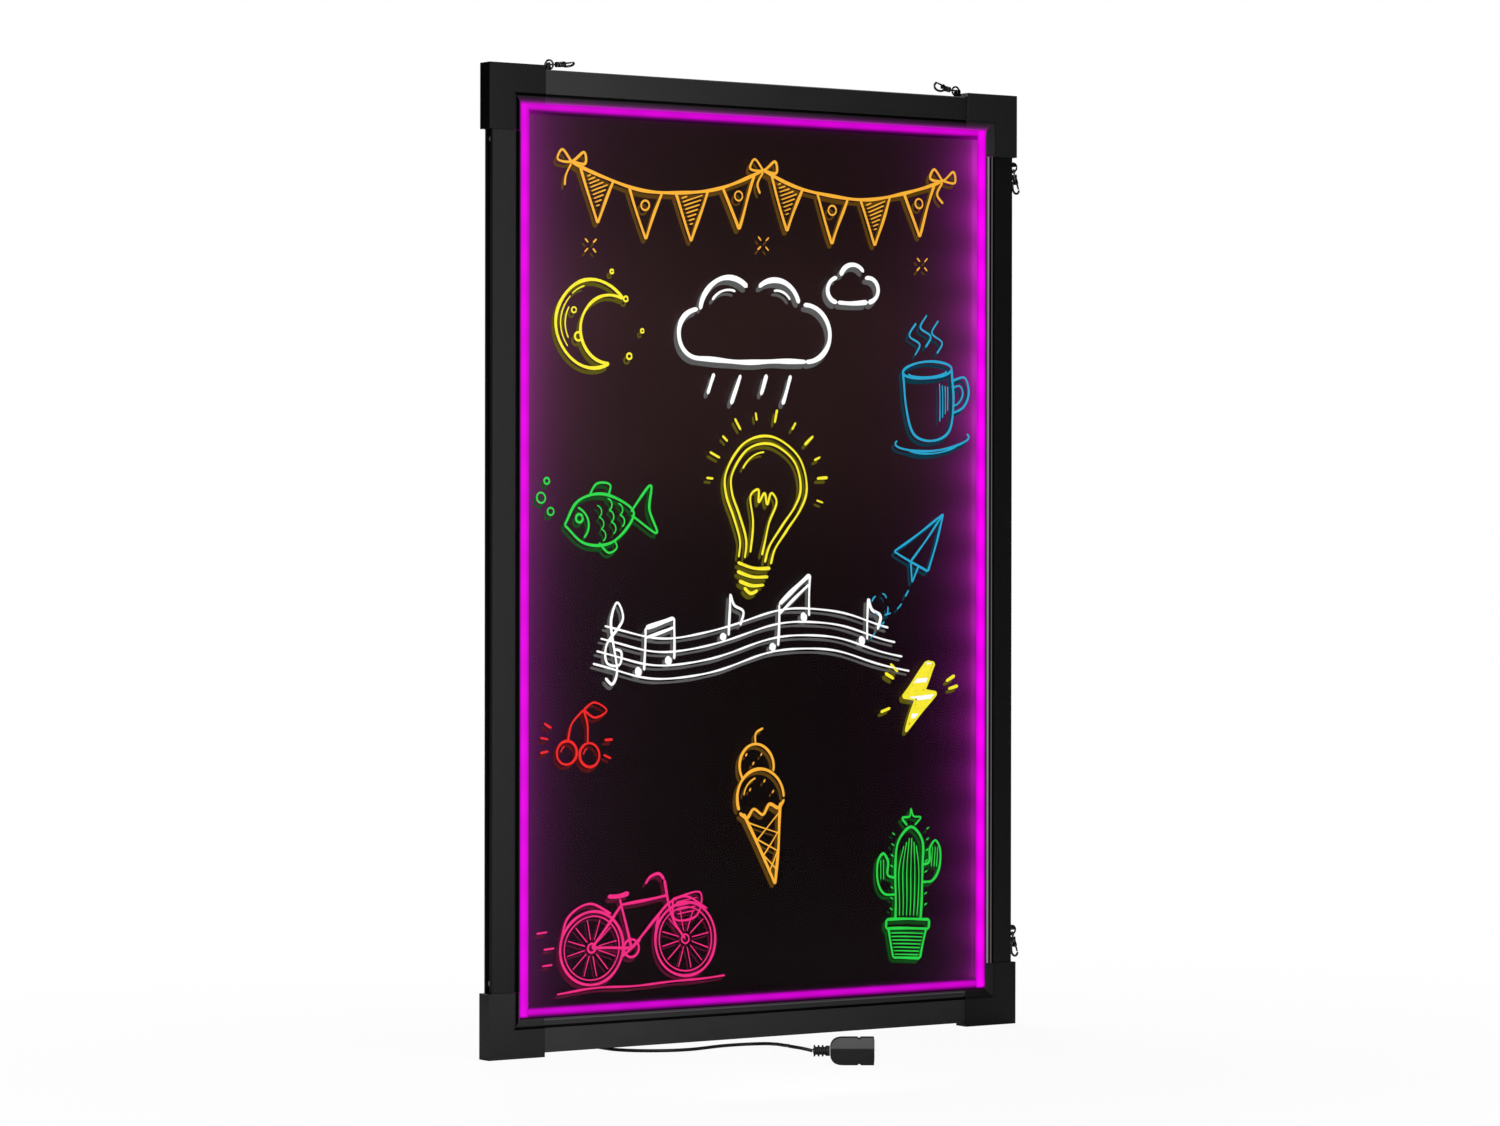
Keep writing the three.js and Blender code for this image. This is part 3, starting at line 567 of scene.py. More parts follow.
def rim(finish, glow, depth_of_shadow, glints):
    """Black shadow in the groove behind the frame's flat face, and the bars' light on the lip next to them:
    level·exp(-distance from the lip's edge / reach), from the nearest side, with glints along it."""
    away, depth = edge_distances(finish, 0.0)
    front = depth < BOARD_CORNER[1] + FRONT_DEPTH
    nearest = away["left"].least(away["right"]).least(away["top"]).least(away["bottom"])
    shades, spills = [], []
    for side, (start, end, level, reach) in RIMS.items():
        distance = away[side]
        here = (nearest > distance - MITRE) * front
        begun = ((distance - start) * SHADOW_STARTS).share()
        left_over = ((end - distance) * SHADOW_ENDS + 0.5).share()
        shades.append(here * (begun * left_over))
        spills.append(here * (math.e ** ((distance - LIP_EDGE).least(0.0) * (1 / reach)) * level))
    black = finish.add("ShaderNodeBsdfDiffuse", {}, {"Color": GROOVE_BLACK})
    finish.mixed(sum(shades[1:], shades[0]) * depth_of_shadow, black)
    light = finish.lit(sum(spills[1:], spills[0]), glow)
    for side, place, half, colour in glints:
        share = (1 - (away[side] - place).size() / half).most(0.0) * front
        light = finish.both(light, finish.lit(share * (nearest > away[side] - MITRE), colour))
    finish.feed("Emission Color", light)
    return nearest, front


def anodised(name, colour, lengthways, glow, shine):
    """Black anodised extrusion: fine die lines along its length, faint cloudiness and dust; the lip is rubbed
    smoother than the face."""
    finish = Finish(name, {"Specular IOR Level": shine, "Emission Strength": 1.0})
    nearest, front = rim(finish, glow, 0.93, GLINTS)
    stretch = (900, 900, 4) if lengthways == "z" else (4, 900, 900)
    lines = finish.noise(1.0, stretch, 2.0)
    cloud = finish.noise(26.0, detail=4.0)
    fine = finish.noise(5200.0, detail=1.0)
    dust = finish.specks(260.0, 0.035) * finish.noise(70.0)
    dyed = finish.shade(colour, 0.78, 1.25, lines * 0.35 + cloud * 0.65)
    lip = (nearest > LIP_START) * front
    finish.feed("Base Color", finish.blend(dust * 0.25, dyed, (0.09, 0.09, 0.09)))
    finish.feed("Roughness", (0.4 + lines * 0.1 + cloud * 0.1) * (1 - lip * 0.5))
    finish.relief(lines * 0.7 + fine * 0.3, 0.22, 0.00004)
    return finish.material


def moulded(name, colour, glow, gap, shine):
    """Black moulding with a fine spark-eroded grain and slightly glossier rubbed patches."""
    finish = Finish(name, {"Specular IOR Level": shine, "Emission Strength": 1.0})
    rim(finish, glow, gap, ())
    grain = finish.noise(2600.0, detail=2.0)
    cloud = finish.noise(38.0, detail=4.0)
    dust = finish.specks(240.0, 0.03) * finish.noise(60.0)
    shade = finish.shade(colour, 0.85, 1.2, cloud)
    finish.feed("Base Color", finish.blend(dust * 0.2, shade, (0.08, 0.08, 0.08)))
    finish.feed("Roughness", 0.42 + grain * 0.14 - cloud * 0.08)
    finish.relief(grain, 0.35, 0.00005)
    return finish.material


def nylon(name):
    """Grey nylon of the corner keys, with faint flow marks."""
    finish = Finish(name, {"Specular IOR Level": 0.4})
    flow = finish.noise(90.0, (1, 1, 0.3), 4.0)
    finish.feed("Base Color", finish.shade((0.05, 0.05, 0.053), 0.8, 1.2, flow))
    finish.feed("Roughness", 0.5 + flow * 0.15)
    finish.relief(finish.noise(1800.0), 0.2, 0.00004)
    return finish.material


# Light that falls off into the backing from each side: pairs of reach in mm and level
HALO = {
    "left": ((12.0, 0.18), (35.0, 0.03), (1.2, 0.42)),
    "right": ((12.0, 0.27), (1.6, 0.2)),
    "top": ((1.1, 0.01), (9.0, 0.004)),
    "bottom": ((0.5, 0.07),),
}
RIGHT_HAZE = (35.0, 0.03)
# The side halos at the board's foot, and what they gain up to its top
HALO_FOOT, HALO_GAIN = 0.42, 0.72
# Painted reflection of the room's warm light over the height of the backing: share of the height, and level
PAINTED_REFLECTION_LEVELS = [(0.0, 0.1), (0.4, 0.13), (0.5, 0.3), (0.62, 0.76), (0.78, 1.0), (0.9, 0.6), (1.0, 0.5)]
FILM_BLACK = (0.0008, 0.0006, 0.0007)
BACK_BLACK = (0.016, 0.0158, 0.0155)


def fall(distance, reach):
    """exp(-distance / reach), and 1 where the distance is below 0."""
    return math.e ** (distance.most(0.0) * (-1 / reach))


def backing(name, colours, stage):
    """Gloss black film that carries the halo of the edge light; its back is plain black board.

    The halos of the four sides add up, each a sum of level·exp(-distance / reach). The right one swells at
    every lamp, and a painted reflection of the room's warm light is strongest at three quarters of the
    height.
    """
    finish = Finish(name, {"Specular IOR Level": 0.1, "Emission Strength": 1.0})
    away, depth = edge_distances(finish, BAR_EDGE)
    bottom = away["bottom"]
    height = (bottom / (BOARD_HEIGHT - 2 * BAR_EDGE)).share()
    drift = finish.noise(9.0, detail=2.0)
    grain = finish.noise(900.0, detail=2.0)

    def halo(side):
        """Sum of level·exp(-distance / reach) over the side's pairs."""
        parts = [fall(away[side], reach) * level for reach, level in HALO[side]]
        return sum(parts[1:], parts[0])

    pulse = lamp_wave(bottom, stage) * 0.5 + 0.5
    haze_reach, haze_level = RIGHT_HAZE
    right = halo("right") * (0.72 + pulse * 0.42) + fall(away["right"], haze_reach) * haze_level
    sides = (halo("left") + right) * (HALO_FOOT + height * HALO_GAIN) * ((bottom + 1.0) / 3.0).share()
    light = finish.lit((sides + halo("top") + halo("bottom")) * (0.86 + drift * 0.28), colours.halo)
    # Painted reflection of the room's warm light: strongest high up, and up to twice as strong near the left
    # side
    haze = finish.ramp(height, PAINTED_REFLECTION_LEVELS) * (1 + fall(away["left"], 60.0)) * (0.75 + drift * 0.5)
    warm = finish.lit(haze * 0.5, [2 * channel for channel in colours.haze])
    values = {"Vector": finish.both(light, warm), "Scale": 0.86 + grain * 0.28}
    glow = finish.add("ShaderNodeVectorMath", {"operation": "SCALE"}, values)
    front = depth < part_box("backing_board")[0].y + 0.1 * MM
    finish.feed("Emission Color", finish.blend(front, (0.0, 0.0, 0.0), glow))
    fibre = finish.noise(700.0, (1, 1, 0.25), 3.0)
    behind = finish.shade(BACK_BLACK, 0.7, 1.35, fibre)
    finish.feed("Base Color", finish.blend(front, behind, FILM_BLACK))
    finish.feed("Roughness", 0.62 - front * 0.22 + fibre * 0.1)
    finish.relief((fibre + finish.noise(2400.0) * 0.5) * (1 - front), 0.4, 0.00008)
    return finish.material


def acrylic(name):
    """Clear sheet: polished, with wipe marks, a few dust specks and a faint smoky tint."""
    finish = Finish(name, {"Specular IOR Level": 0.4, "IOR": 1.49})
    wipes = finish.noise(11.0, (1.6, 1, 0.7), 5.0, 0.62)
    dust = finish.specks(150.0, 0.03) * finish.noise(50.0)
    tint = finish.shade((0.006, 0.003, 0.004), 0.4, 1.6, wipes)
    finish.feed("Base Color", finish.blend(dust, tint, (0.2, 0.17, 0.18)))
    finish.feed("Roughness", 0.04 + wipes * 0.09)
    finish.feed("Alpha", 0.08 + wipes * 0.05 + dust * 0.35)
    return finish.material


# Light across a bar, from the frame's lip inwards: distance in mm, and level
BAR_LEVELS = {
    "left": (
        (0, 0.3), (0.4, 0.54), (1.2, 0.75), (1.9, 0.84), (3.5, 0.82), (4.3, 0.78), (5.0, 0.7), (5.8, 0.6),
        (6.4, 0.5),
    ),
    "right": ((0, 0.46), (0.8, 0.8), (1.6, 0.92), (2.4, 0.99), (4.6, 0.98), (5.4, 0.84), (6.4, 0.66)),
    "top": (
        (0, 0.5), (0.5, 0.63), (1.1, 0.7), (1.7, 0.72), (2.3, 0.7), (3.0, 0.62), (3.6, 0.43), (4.2, 0.2),
        (4.9, 0.08), (5.5, 0.033), (6.4, 0.018),
    ),
    # The bottom bar starts dark at the lip: painted shadow of the lip along it
    "bottom": (
        (0, 0.0), (0.8, 0.03), (1.4, 0.12), (2.0, 0.28), (2.7, 0.49), (3.3, 0.61), (3.9, 0.65), (4.6, 0.66),
        (5.2, 0.6), (5.8, 0.43), (6.4, 0.18),
    ),
}
# How much each bar's light swells at its lamps
SWELLS = {"left": 0.05, "right": 0.09, "top": 0.04, "bottom": 0.04}
# Level of each side's halo where it runs over the ends of the top and bottom bars, and its reach in mm
BAR_END_HALO = {"left": 0.18, "right": 0.29}
BAR_END_REACH = 12.0


def light_bar(name, colour, stage):
    """Glowing diffuser: the strongest of four levels and two halos. A level is read off the distance from
    one side's lip and swells softly at every lamp; a halo runs in from the left or right bar."""
    finish = Finish(name, {"Specular IOR Level": 0.05, "Emission Strength": 1.0, "Roughness": 0.5})
    away, _ = edge_distances(finish, LIP_EDGE)
    top, bottom = away["top"], away["bottom"]
    reach = BAR_EDGE - LIP_EDGE
    levels = []
    for side, stops in BAR_LEVELS.items():
        from_lip, swell = away[side], SWELLS[side]
        upright = side in BAR_END_HALO
        level = finish.ramp(from_lip / reach, [(place / reach, value) for place, value in stops])
        level = level * ((from_lip + 0.5) * 2.0).share() * (from_lip < reach + 0.05)
        level = level * (1 - swell * 0.5 + lamp_wave(bottom if upright else away["left"], stage) * swell)
        if upright:
            level = level * ((bottom - 0.6) / 1.4).share() * ((top + 0.6) / 1.2).share()
        levels.append(level)
    height = bottom / (BOARD_HEIGHT - 2 * LIP_EDGE)
    inside = ((top - 3.0) * 0.5).share() * ((bottom - 3.0) * 0.5).share()
    for side, level in BAR_END_HALO.items():
        halo = fall(away[side] - reach, BAR_END_REACH) * level
        levels.append(halo * inside * (HALO_FOOT + height * HALO_GAIN))
    strongest = levels[0]
    for level in levels[1:]:
        strongest = strongest.most(level)
    finish.feed("Emission Color", finish.lit(strongest, colour))
    finish.feed("Base Color", finish.shade(colour, 0.002, 0.006, finish.noise(300.0)))
    return finish.material


def light_tape(name):
    """White flexible tape with a faint copper pattern."""
    finish = Finish(name, {"Specular IOR Level": 0.45})
    tracks = finish.noise(240.0, (1, 0.2, 1), 1.0)
    finish.feed("Base Color", finish.blend(tracks, (0.55, 0.53, 0.47), (0.82, 0.81, 0.76)))
    finish.feed("Roughness", 0.42 + tracks * 0.2)
    finish.relief(tracks, 0.2, 0.00003)
    return finish.material


def plated(name, colour, roughness):
    """Plated steel: tumbled micro-scratches, duller blotches and dark specks of wear."""
    finish = Finish(name, {"Metallic": 1.0})
    cloud = finish.noise(520.0, detail=4.0)
    scratch = finish.noise(3000.0, (1, 1, 0.12), 2.0)
    worn = finish.noise(240.0, detail=5.0, roughness=0.7) > 0.66
    base = finish.shade(colour, 0.7, 1.25, cloud)
    finish.feed("Base Color", finish.blend(worn * 0.5, base, (0.06, 0.055, 0.05)))
    finish.feed("Roughness", roughness + cloud * 0.14 + worn * 0.15)
    finish.relief(scratch, 0.12, 0.00003)
    return finish.material


def jacket(name, base, roughness, grain, shine):
    """Soft black jacket with a fine matt skin."""
    finish = Finish(name, {"Specular IOR Level": shine})
    skin = finish.noise(grain, detail=3.0)
    cloud = finish.noise(160.0)
    finish.feed("Base Color", finish.shade((base, base, base * 1.02), 0.7, 1.4, cloud))
    finish.feed("Roughness", roughness + skin * 0.12)
    finish.relief(skin, 0.3, 0.00004)
    return finish.material


def insulation(name, colour):
    """Smooth coloured insulation or contact carrier, slightly mottled."""
    finish = Finish(name, {"Specular IOR Level": 0.45})
    mottle = finish.noise(700.0)
    finish.feed("Base Color", finish.shade(colour, 0.85, 1.15, mottle))
    finish.feed("Roughness", 0.38 + mottle * 0.12)
    return finish.material


def ink(name, colour, strength):
    """Fluorescent marker: streaky where the felt ran dry, brighter where it pooled."""
    finish = Finish(name, {"Specular IOR Level": 0.2, "Emission Strength": 1.0, "Roughness": 0.6})
    streak = finish.noise(420.0, detail=3.0)
    pool = finish.noise(1500.0, detail=2.0)
    level = (0.74 + streak * 0.34 + pool * 0.12) * strength
    finish.feed("Emission Color", finish.lit(level.least(1.0), colour))
    finish.feed("Base Color", finish.shade(colour, 0.1 * strength, 0.2 * strength, streak))
    finish.relief(pool, 0.2, 0.00005)
    return finish.material


# Stage


# Lamps: where each one stands, what it is aimed at, and the width and height of its panel, in metres
LAMPS = {
    "key": ((-0.13, -0.28, 0.4), (-0.13, 0.0, 0.4), (0.12, 0.74)),
    "top": ((0.45, 0.0, 1.25), (0.0, 0.0, 0.1), (0.6, 0.4)),
    "back": ((0.2, 0.8, 0.7), (0.05, 0.0, 0.35), (0.7, 0.5)),
}
# Soft panels round the board that metal and gloss mirror: direction, where each starts and is full, level
WINDOWS = (
    ((0.45, 0.89, 0.0), 0.92, 0.98, 0.35),
    ((-0.58, -0.81, 0.0), 0.9, 0.97, 3.0),
    ((0.57, 0.15, 0.81), 0.72, 0.95, 0.5),
)
# Level that gloss mirrors between the panels
DARK_ROOM = 0.004
# Width of the camera's sensor, in mm
SENSOR = 36.0


class BOARD_OT_stage(Operator):
    """Make the camera, the soft lamps, the white surround and the pale floor"""

    bl_idname = "board.stage"
    bl_label = "Stage"

    def execute(self, context):
        stage = context.scene.board_stage
        scene = context.scene
        scene.view_settings.view_transform = "Standard"
        lens = bpy.data.cameras.new("camera")
        lens.lens, lens.sensor_width = stage.lens, SENSOR
        lens.clip_start, lens.clip_end = 0.05, 200.0
        camera = bpy.data.objects.new("camera", lens)
        camera.location = stage.camera_place
        camera.rotation_euler = Euler(stage.camera_turn)
        scene.collection.objects.link(camera)
        scene.camera = camera
        for name, (place, target, size) in LAMPS.items():
            light = bpy.data.lights.new(name, "AREA")
            light.shape = "RECTANGLE"
            light.size, light.size_y = size
            light.energy = getattr(stage, f"{name}_power")
            lamp = bpy.data.objects.new(name, light)
            lamp.location = place
            lamp.rotation_euler = (Vector(target) - Vector(place)).to_track_quat("-Z", "Y").to_euler()
            scene.collection.objects.link(lamp)
        self.surround(scene, stage)
        self.floor(scene, stage)
        return {"FINISHED"}

    def surround(self, scene, stage):
        """White for what the camera sees, soft panels for what metal and gloss mirror, and a dimmer room."""
        world = bpy.data.worlds.new("surround")
        world.use_nodes = True
        scene.world = world
        sky = Tree(world.node_tree)
        direction = sky.add("ShaderNodeTexCoord", {}, {}, "Generated")
        panels = []
        for aim, start, end, level in WINDOWS:
            values = [direction, Vector(aim).normalized()]
            facing = sky.add("ShaderNodeVectorMath", {"operation": "DOT_PRODUCT"}, values, "Value")
            panels.append(sky.fade(facing, start, end, DARK_ROOM, level))
        mirrored = sky.ray("Is Glossy Ray") + sky.ray("Is Transmission Ray")
        seen = mirrored * sum(panels[1:], panels[0]) + sky.ray("Is Camera Ray")
        strength = seen.most(sky.ray("Is Diffuse Ray") * stage.room)
        background = world.node_tree.nodes["Background"]
        background.inputs["Color"].default_value = (1, 1, 1, 1)
        world.node_tree.links.new(strength.socket, background.inputs["Strength"])

    def floor(self, scene, stage):
        """Flat pale floor: the camera sees it nearly white, with the board's soft shadow left in it."""
        half = stage.floor_size
        corners = [(-half, -half, 0), (half, -half, 0), (half, half, 0), (-half, half, 0)]
        mesh = bpy.data.meshes.new("floor")
        mesh.from_pydata(corners, [], [(0, 1, 2, 3)])
        pale = {"Base Color": (0.8, 0.8, 0.8, 1), "Roughness": 0.9, "Specular IOR Level": 0.1}
        paint = Finish("pale_floor", pale)
        distance = paint.add("ShaderNodeVectorMath", {"operation": "LENGTH"}, [paint.place], "Value")
        whiteness = paint.fade(distance, 0.18, 0.75, 0.945, 1.0)
        rays = paint.ray("Is Camera Ray") + paint.ray("Is Transmission Ray")
        white = paint.add("ShaderNodeEmission", {}, {"Color": (1.0, 1.0, 1.0)})
        paint.mixed(rays * whiteness, white)
        mesh.materials.append(paint.material)
        ground = bpy.data.objects.new("floor", mesh)
        scene.collection.objects.link(ground)


# Lead: cord, strain relief, gland and socket

# The cord's route, the same points as in the solids, in mm from the board's corner
CORD_POINTS = np.array([
    (63.2, 19.75, 10), (63.2, 23.5, 9.9), (63.3, 28.5, 8.8), (63.8, 33.5, 5.6), (64.8, 38.5, 2.4),
    (67, 44.5, 1.15), (71.5, 50.5, 1.1), (78, 53.5, 1.1), (85, 52.5, 1.1), (90.5, 47, 1.1),
    (93, 38, 1.1), (93.5, 26, 1.1), (93.5, 14, 1.1), (94.5, 4, 1.1), (99, -5, 1.1),
    (108, -13.5, 1.1), (121, -20, 1.1), (135.5, -21.5, 1.1), (149, -18.5, 1.1), (162, -15.5, 1.1),
    (174, -16, 1.2), (182, -19, 1.4), (187, -28, 2.1), (184, -40, 3.1), (177.5, -51.8, 4.5),
    (169.3, -68, 6.1), (161, -84.2, 7.6), (154.1, -98.9, 9), (146.8, -109.8, 10.2), (145.5, -113.8, 10.4),
    (145.8, -118, 10.3), (147.7, -121.8, 9.9), (150.1, -124.2, 9.25), (152.795, -126.057, 8.45),
])
# The socket's line: where it starts, its turn, its heading and the level direction across it
SOCKET_START = np.array((153.0, -126.2, 8.45)) * MM + BOARD_CORNER
SOCKET_TURN = math.radians(-35)
SOCKET_AXIS = np.array([math.cos(SOCKET_TURN), math.sin(SOCKET_TURN), 0])
SOCKET_ACROSS = np.array([-math.sin(SOCKET_TURN), math.cos(SOCKET_TURN), 0])


class BOARD_OT_lead(Operator):
    """Make the cord, its gland, its strain relief and the socket at its end"""

    bl_idname = "board.lead"
    bl_label = "Lead and socket"

    def execute(self, context):
        sizes = context.scene.board_sizes
        rubber = jacket("cord_jacket", 0.006, 0.42, 4200.0, 0.25)
        soft = jacket("moulded_relief", 0.006, 0.5, 3000.0, 0.25)
        path = through(CORD_POINTS, 10) * MM + BOARD_CORNER
        heading = headings(path)
        across = np.cross(heading, Z)
        across /= np.linalg.norm(across, axis=1, keepdims=True)
        upward = np.cross(across, heading)
        radius = sizes.cord_diameter / 2
        cord = piece("lead_cord", [carried(path, across, upward, circle(20), radius)], rubber)
        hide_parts("supply_cord")
        sleeve = self.gland(soft)
        pieces = [self.strain_relief(soft), *self.socket()]
        return {"FINISHED"}

    def along_socket(self, profile, sides):
        """Turned shape on the socket's own line."""
        return turned(np.asarray(profile) * MM, SOCKET_START, SOCKET_AXIS, SOCKET_ACROSS, Z, sides)

    def gland(self, finish):
        """Sleeve with a flange, ribs that thin towards its tip, and a rounded mouth."""
        low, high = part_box("cord_gland")
        start = np.array([(low.x + high.x) / 2, low.y, (low.z + high.z) / 2])
        length = (high.y - low.y) / MM
        corners = [(0, 0), (1.9, 0), (1.9, 1.45), (3.1, 1.45), (3.1, 2.65), (2.05, 2.65)]
        ribs = np.linspace(3.1, length - 1.9, 4)
        for place in ribs:
            wide = 2.05 - 0.3 * (place - 2.65) / (length - 2.65)
            corners += [(wide, place), (wide - 0.3, place + 0.35)]
            corners += [(wide - 0.3, place + 0.95), (wide - 0.05, place + 1.3)]
        corners += [(1.6, length - 0.3), (1.45, length), (0, length)]
        profile = softened(corners, 0.22) * MM
        made = piece("lead_gland", [turned(profile, start, Y, X, Z, 32)], finish)
        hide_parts("cord_gland")
        return made

    def strain_relief(self, finish):
        """Three ribs with deep round-bottomed grooves, then a plain neck into the socket."""
        corners = [(0, 0), (1.5, 0), (1.75, 0.35)]
        for rib in range(3):
            start = rib * 2.5
            corners += [(2.5, start + 0.3), (3.5, start + 0.35), (3.5, start + 1.35), (2.45, start + 1.5)]
            corners += [(2.4, start + 2.45)]
        corners += [(3.15, 7.7), (3.15, 10.2), (0, 10.2)]
        made = piece("relief_ribs", [self.along_socket(softened(corners, 0.28), 36)], finish)
        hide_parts("cord_strain_relief")
        return made

    def socket(self):
        """Rounded housing, pressed metal shell, contact carrier and four sprung contacts."""
        gloss = jacket("socket_gloss", 0.0045, 0.3, 2600.0, 0.28)
        housing = eased("socket_housing", "socket_body", gloss, "board", 0.0006, 3, 12.0)
        nickel = plated("socket_nickel", (0.62, 0.6, 0.56), 0.2)
        shell = eased("socket_shell", "socket_lining", nickel, "board", 0.00012)
        carrier = insulation("contact_carrier", (0.62, 0.62, 0.58))
        tongue = eased("socket_tongue", "socket_carrier", carrier, "board", 0.00015)
        return [housing, shell, tongue, self.contacts()]

    def contacts(self):
        """Contacts: thin strips carried along lines that bow off the carrier by 0.24 + 0.16·sin(pi·s) mm."""
        share = np.linspace(0, 1, 14)
        section = softened([(-1, 0), (-1, 1), (1, 1), (1, 0), (-1, 0)], 0.3)[:-1] - (0, 0.5)
        shells = []
        for height in (-4.2, -1.4, 1.4, 4.2):
            reach = 26.4 + 8.2 * share
            bow = -0.24 - 0.16 * np.sin(np.pi * share)
            moved = reach[:, None] * SOCKET_AXIS + bow[:, None] * SOCKET_ACROSS + height * Z
            half_size = np.full((len(share), 2), (0.55 * MM, 0.18 * MM))
            shells.append(carried(SOCKET_START + moved * MM, Z, SOCKET_ACROSS, section, half_size))
        gilt = plated("contact_gilt", (0.72, 0.5, 0.2), 0.2)
        return piece("socket_contacts", shells, gilt)


# Frame


# Colour share and shine of each rail: the colour share is painted light and shade,
# darkest on the right rail and lightest on the bottom one
RAIL_PAINTED_SHADES = {"left": (0.47, 0.17), "top": (0.9, 0.34), "right": (0.25, 0.32), "bottom": (1.55, 0.31)}


class BOARD_OT_rails(Operator):
    """Make the four rails with rounded edges and an anodised finish"""

    bl_idname = "board.rails"
    bl_label = "Rails"

    def execute(self, context):
        sizes, colours = context.scene.board_sizes, context.scene.board_colours
        for side in SIDES:
            lengthways = "z" if side in ("left", "right") else "x"
            # Each rail's copy of the finish is made darker or lighter by its painted shade
            share, shine = RAIL_PAINTED_SHADES[side]
            shade = tuple(share * channel for channel in colours.anodised)
            finish = anodised(f"anodised_{side}", shade, lengthways, tuple(colours.glow), shine)
            eased(f"{side}_rail", f"rail_{side}", finish, "board", sizes.rail_edge, 2, 38.0)
        return {"FINISHED"}


# Colour share, shine and depth of the gap's painted shadow of each cap: the colour share is painted
# light and shade, darkest at the top left and lightest at the top right
CAP_PAINTED_SHADES = {
    "bottom_left": (0.85, 0.28, 0.93),
    "top_left": (0.42, 0.12, 0.93),
    "top_right": (1.8, 0.3, 0.3),
    "bottom_right": (0.75, 0.25, 0.3),
}


class BOARD_OT_caps(Operator):
    """Make the four corner caps with rounded edges, and finish the keys inside them"""

    bl_idname = "board.caps"
    bl_label = "Corner caps and keys"

    def execute(self, context):
        sizes, colours = context.scene.board_sizes, context.scene.board_colours
        key = nylon("key_nylon")
        for corner in CORNERS:
            # Each cap's copy of the finish is made darker or lighter by its painted shade
            share, shine, gap = CAP_PAINTED_SHADES[corner]
            shade = tuple(share * channel for channel in colours.moulded)
            finish = moulded(f"moulded_{corner}", shade, tuple(colours.glow), gap, shine)
            cap = f"corner_cap_{corner}"
            eased(cap, f"cap_{corner}", finish, "board", sizes.cap_edge, 3, 25.0)
            dress(f"corner_key_{corner}", key)
        return {"FINISHED"}


def dress(node, finish):
    """A node keeps its shape and takes a new finish."""
    mesh = frame["nodes"][node].data
    mesh.materials.clear()
    mesh.materials.append(finish)


class BOARD_OT_sheet(Operator):
    """Finish the clear sheet and the backing with its halo"""

    bl_idname = "board.sheet"
    bl_label = "Sheet and backing"

    def execute(self, context):
        dress("writing_sheet", acrylic("clear_acrylic"))
        colours, stage = context.scene.board_colours, context.scene.board_stage
        dress("backing_board", backing("backing_halo", colours, stage))
        return {"FINISHED"}


class BOARD_OT_lights(Operator):
    """Finish the light bars, the light strips and their links and wire"""

    bl_idname = "board.lights"
    bl_label = "Light bars and strips"

    def execute(self, context):
        colours, stage = context.scene.board_colours, context.scene.board_stage
        tape = light_tape("strip_tape")
        bar = light_bar("bar_glow", tuple(colours.glow), stage)
        for side in SIDES:
            dress(f"light_bar_{side}", bar)
            dress(f"light_strip_{side}", tape)
        for corner in CORNERS[1:]:
            dress(f"strip_link_{corner}", tape)
        dress("feed_wire", insulation("wire_red", (0.3, 0.01, 0.01)))
        return {"FINISHED"}


class BOARD_OT_screws(Operator):
    """Make the eight screws with domed heads and cross recesses"""

    bl_idname = "board.screws"
    bl_label = "Screws"

    def execute(self, context):
        sizes = context.scene.board_sizes
        steel = plated("screw_zinc", (0.66, 0.66, 0.65), 0.24)
        for side, direction in {"left": X, "top": -Z, "right": -X, "bottom": Z}.items():
            for number in (1, 2):
                self.screw(f"frame_screw_{side}_{number}", direction, sizes, steel)
        return {"FINISHED"}

    def screw(self, node, axis, sizes, steel):
        """Pan head: the lathe profile runs from the middle of the dome to the end of the shank, and the dome
        sinks by depth·w inside a cross, where w falls from 1 to 0 across the cross's sloping walls."""
        low, high = (np.array(corner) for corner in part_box(node))
        length = float(np.abs((high - low) @ np.abs(axis)))
        start = (low + high) / 2 - axis * length / 2
        head, shank, height = sizes.screw_head, sizes.screw_shank, sizes.screw_head_height
        rings = np.linspace(0.02, 0.86, 22) * head
        dome = np.stack([rings, height * 0.28 * (rings / head) ** 2], axis=1)
        rim = [(head * 0.95, height * 0.42), (head, height * 0.62), (head, height), (shank, height)]
        rim += [(shank, length - shank * 0.7), (shank * 0.25, length), (0, length)]
        profile = np.concatenate([dome, softened([tuple(dome[-1]), *rim], 0.00012)[1:]])
        upward = np.cross(axis, Y)
        points, faces = turned(profile, start, axis, Y, upward, 48)
        local = points - start
        along, u, v = local @ axis, local @ Y, local @ upward
        u, v = (u + v) / math.sqrt(2), (u - v) / math.sqrt(2)
        slot, reach, wall = 0.2 * head, 0.66 * head, 0.09 * head
        inside = [
            np.clip((slot - np.abs(a)) / wall + 0.5, 0, 1)
            * np.clip((reach - np.abs(b)) / (3 * wall) + 0.5, 0, 1)
            for a, b in ((u, v), (v, u))
        ]
        sunk = np.maximum(*inside) * sizes.recess_depth * (along < height * 0.3)
        shell = (points + sunk[:, None] * axis, faces)
        made = piece(node.replace("frame_", "pan_"), [shell], steel)
        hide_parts(node)


# Hangers


# How far the eye's head reaches from the ring, at most
EYE_REACH = 4.3 * MM
# The hook's wire from the barrel round to its tip: shares of its length along the chain and of its half width
HOOK_SPAN, HOOK_HALF = 8.95 * MM, 2.35 * MM
HOOK_SHARES = np.array([
    (-0.045, -0.277), (0.123, -0.557), (0.341, -0.906), (0.597, -1), (0.844, -0.779),
    (1, -0.138), (0.982, 0.609), (0.844, 1), (0.771, 1),
])
# Share of the wire's length over which its tip is rounded
HOOK_TIP = 0.035


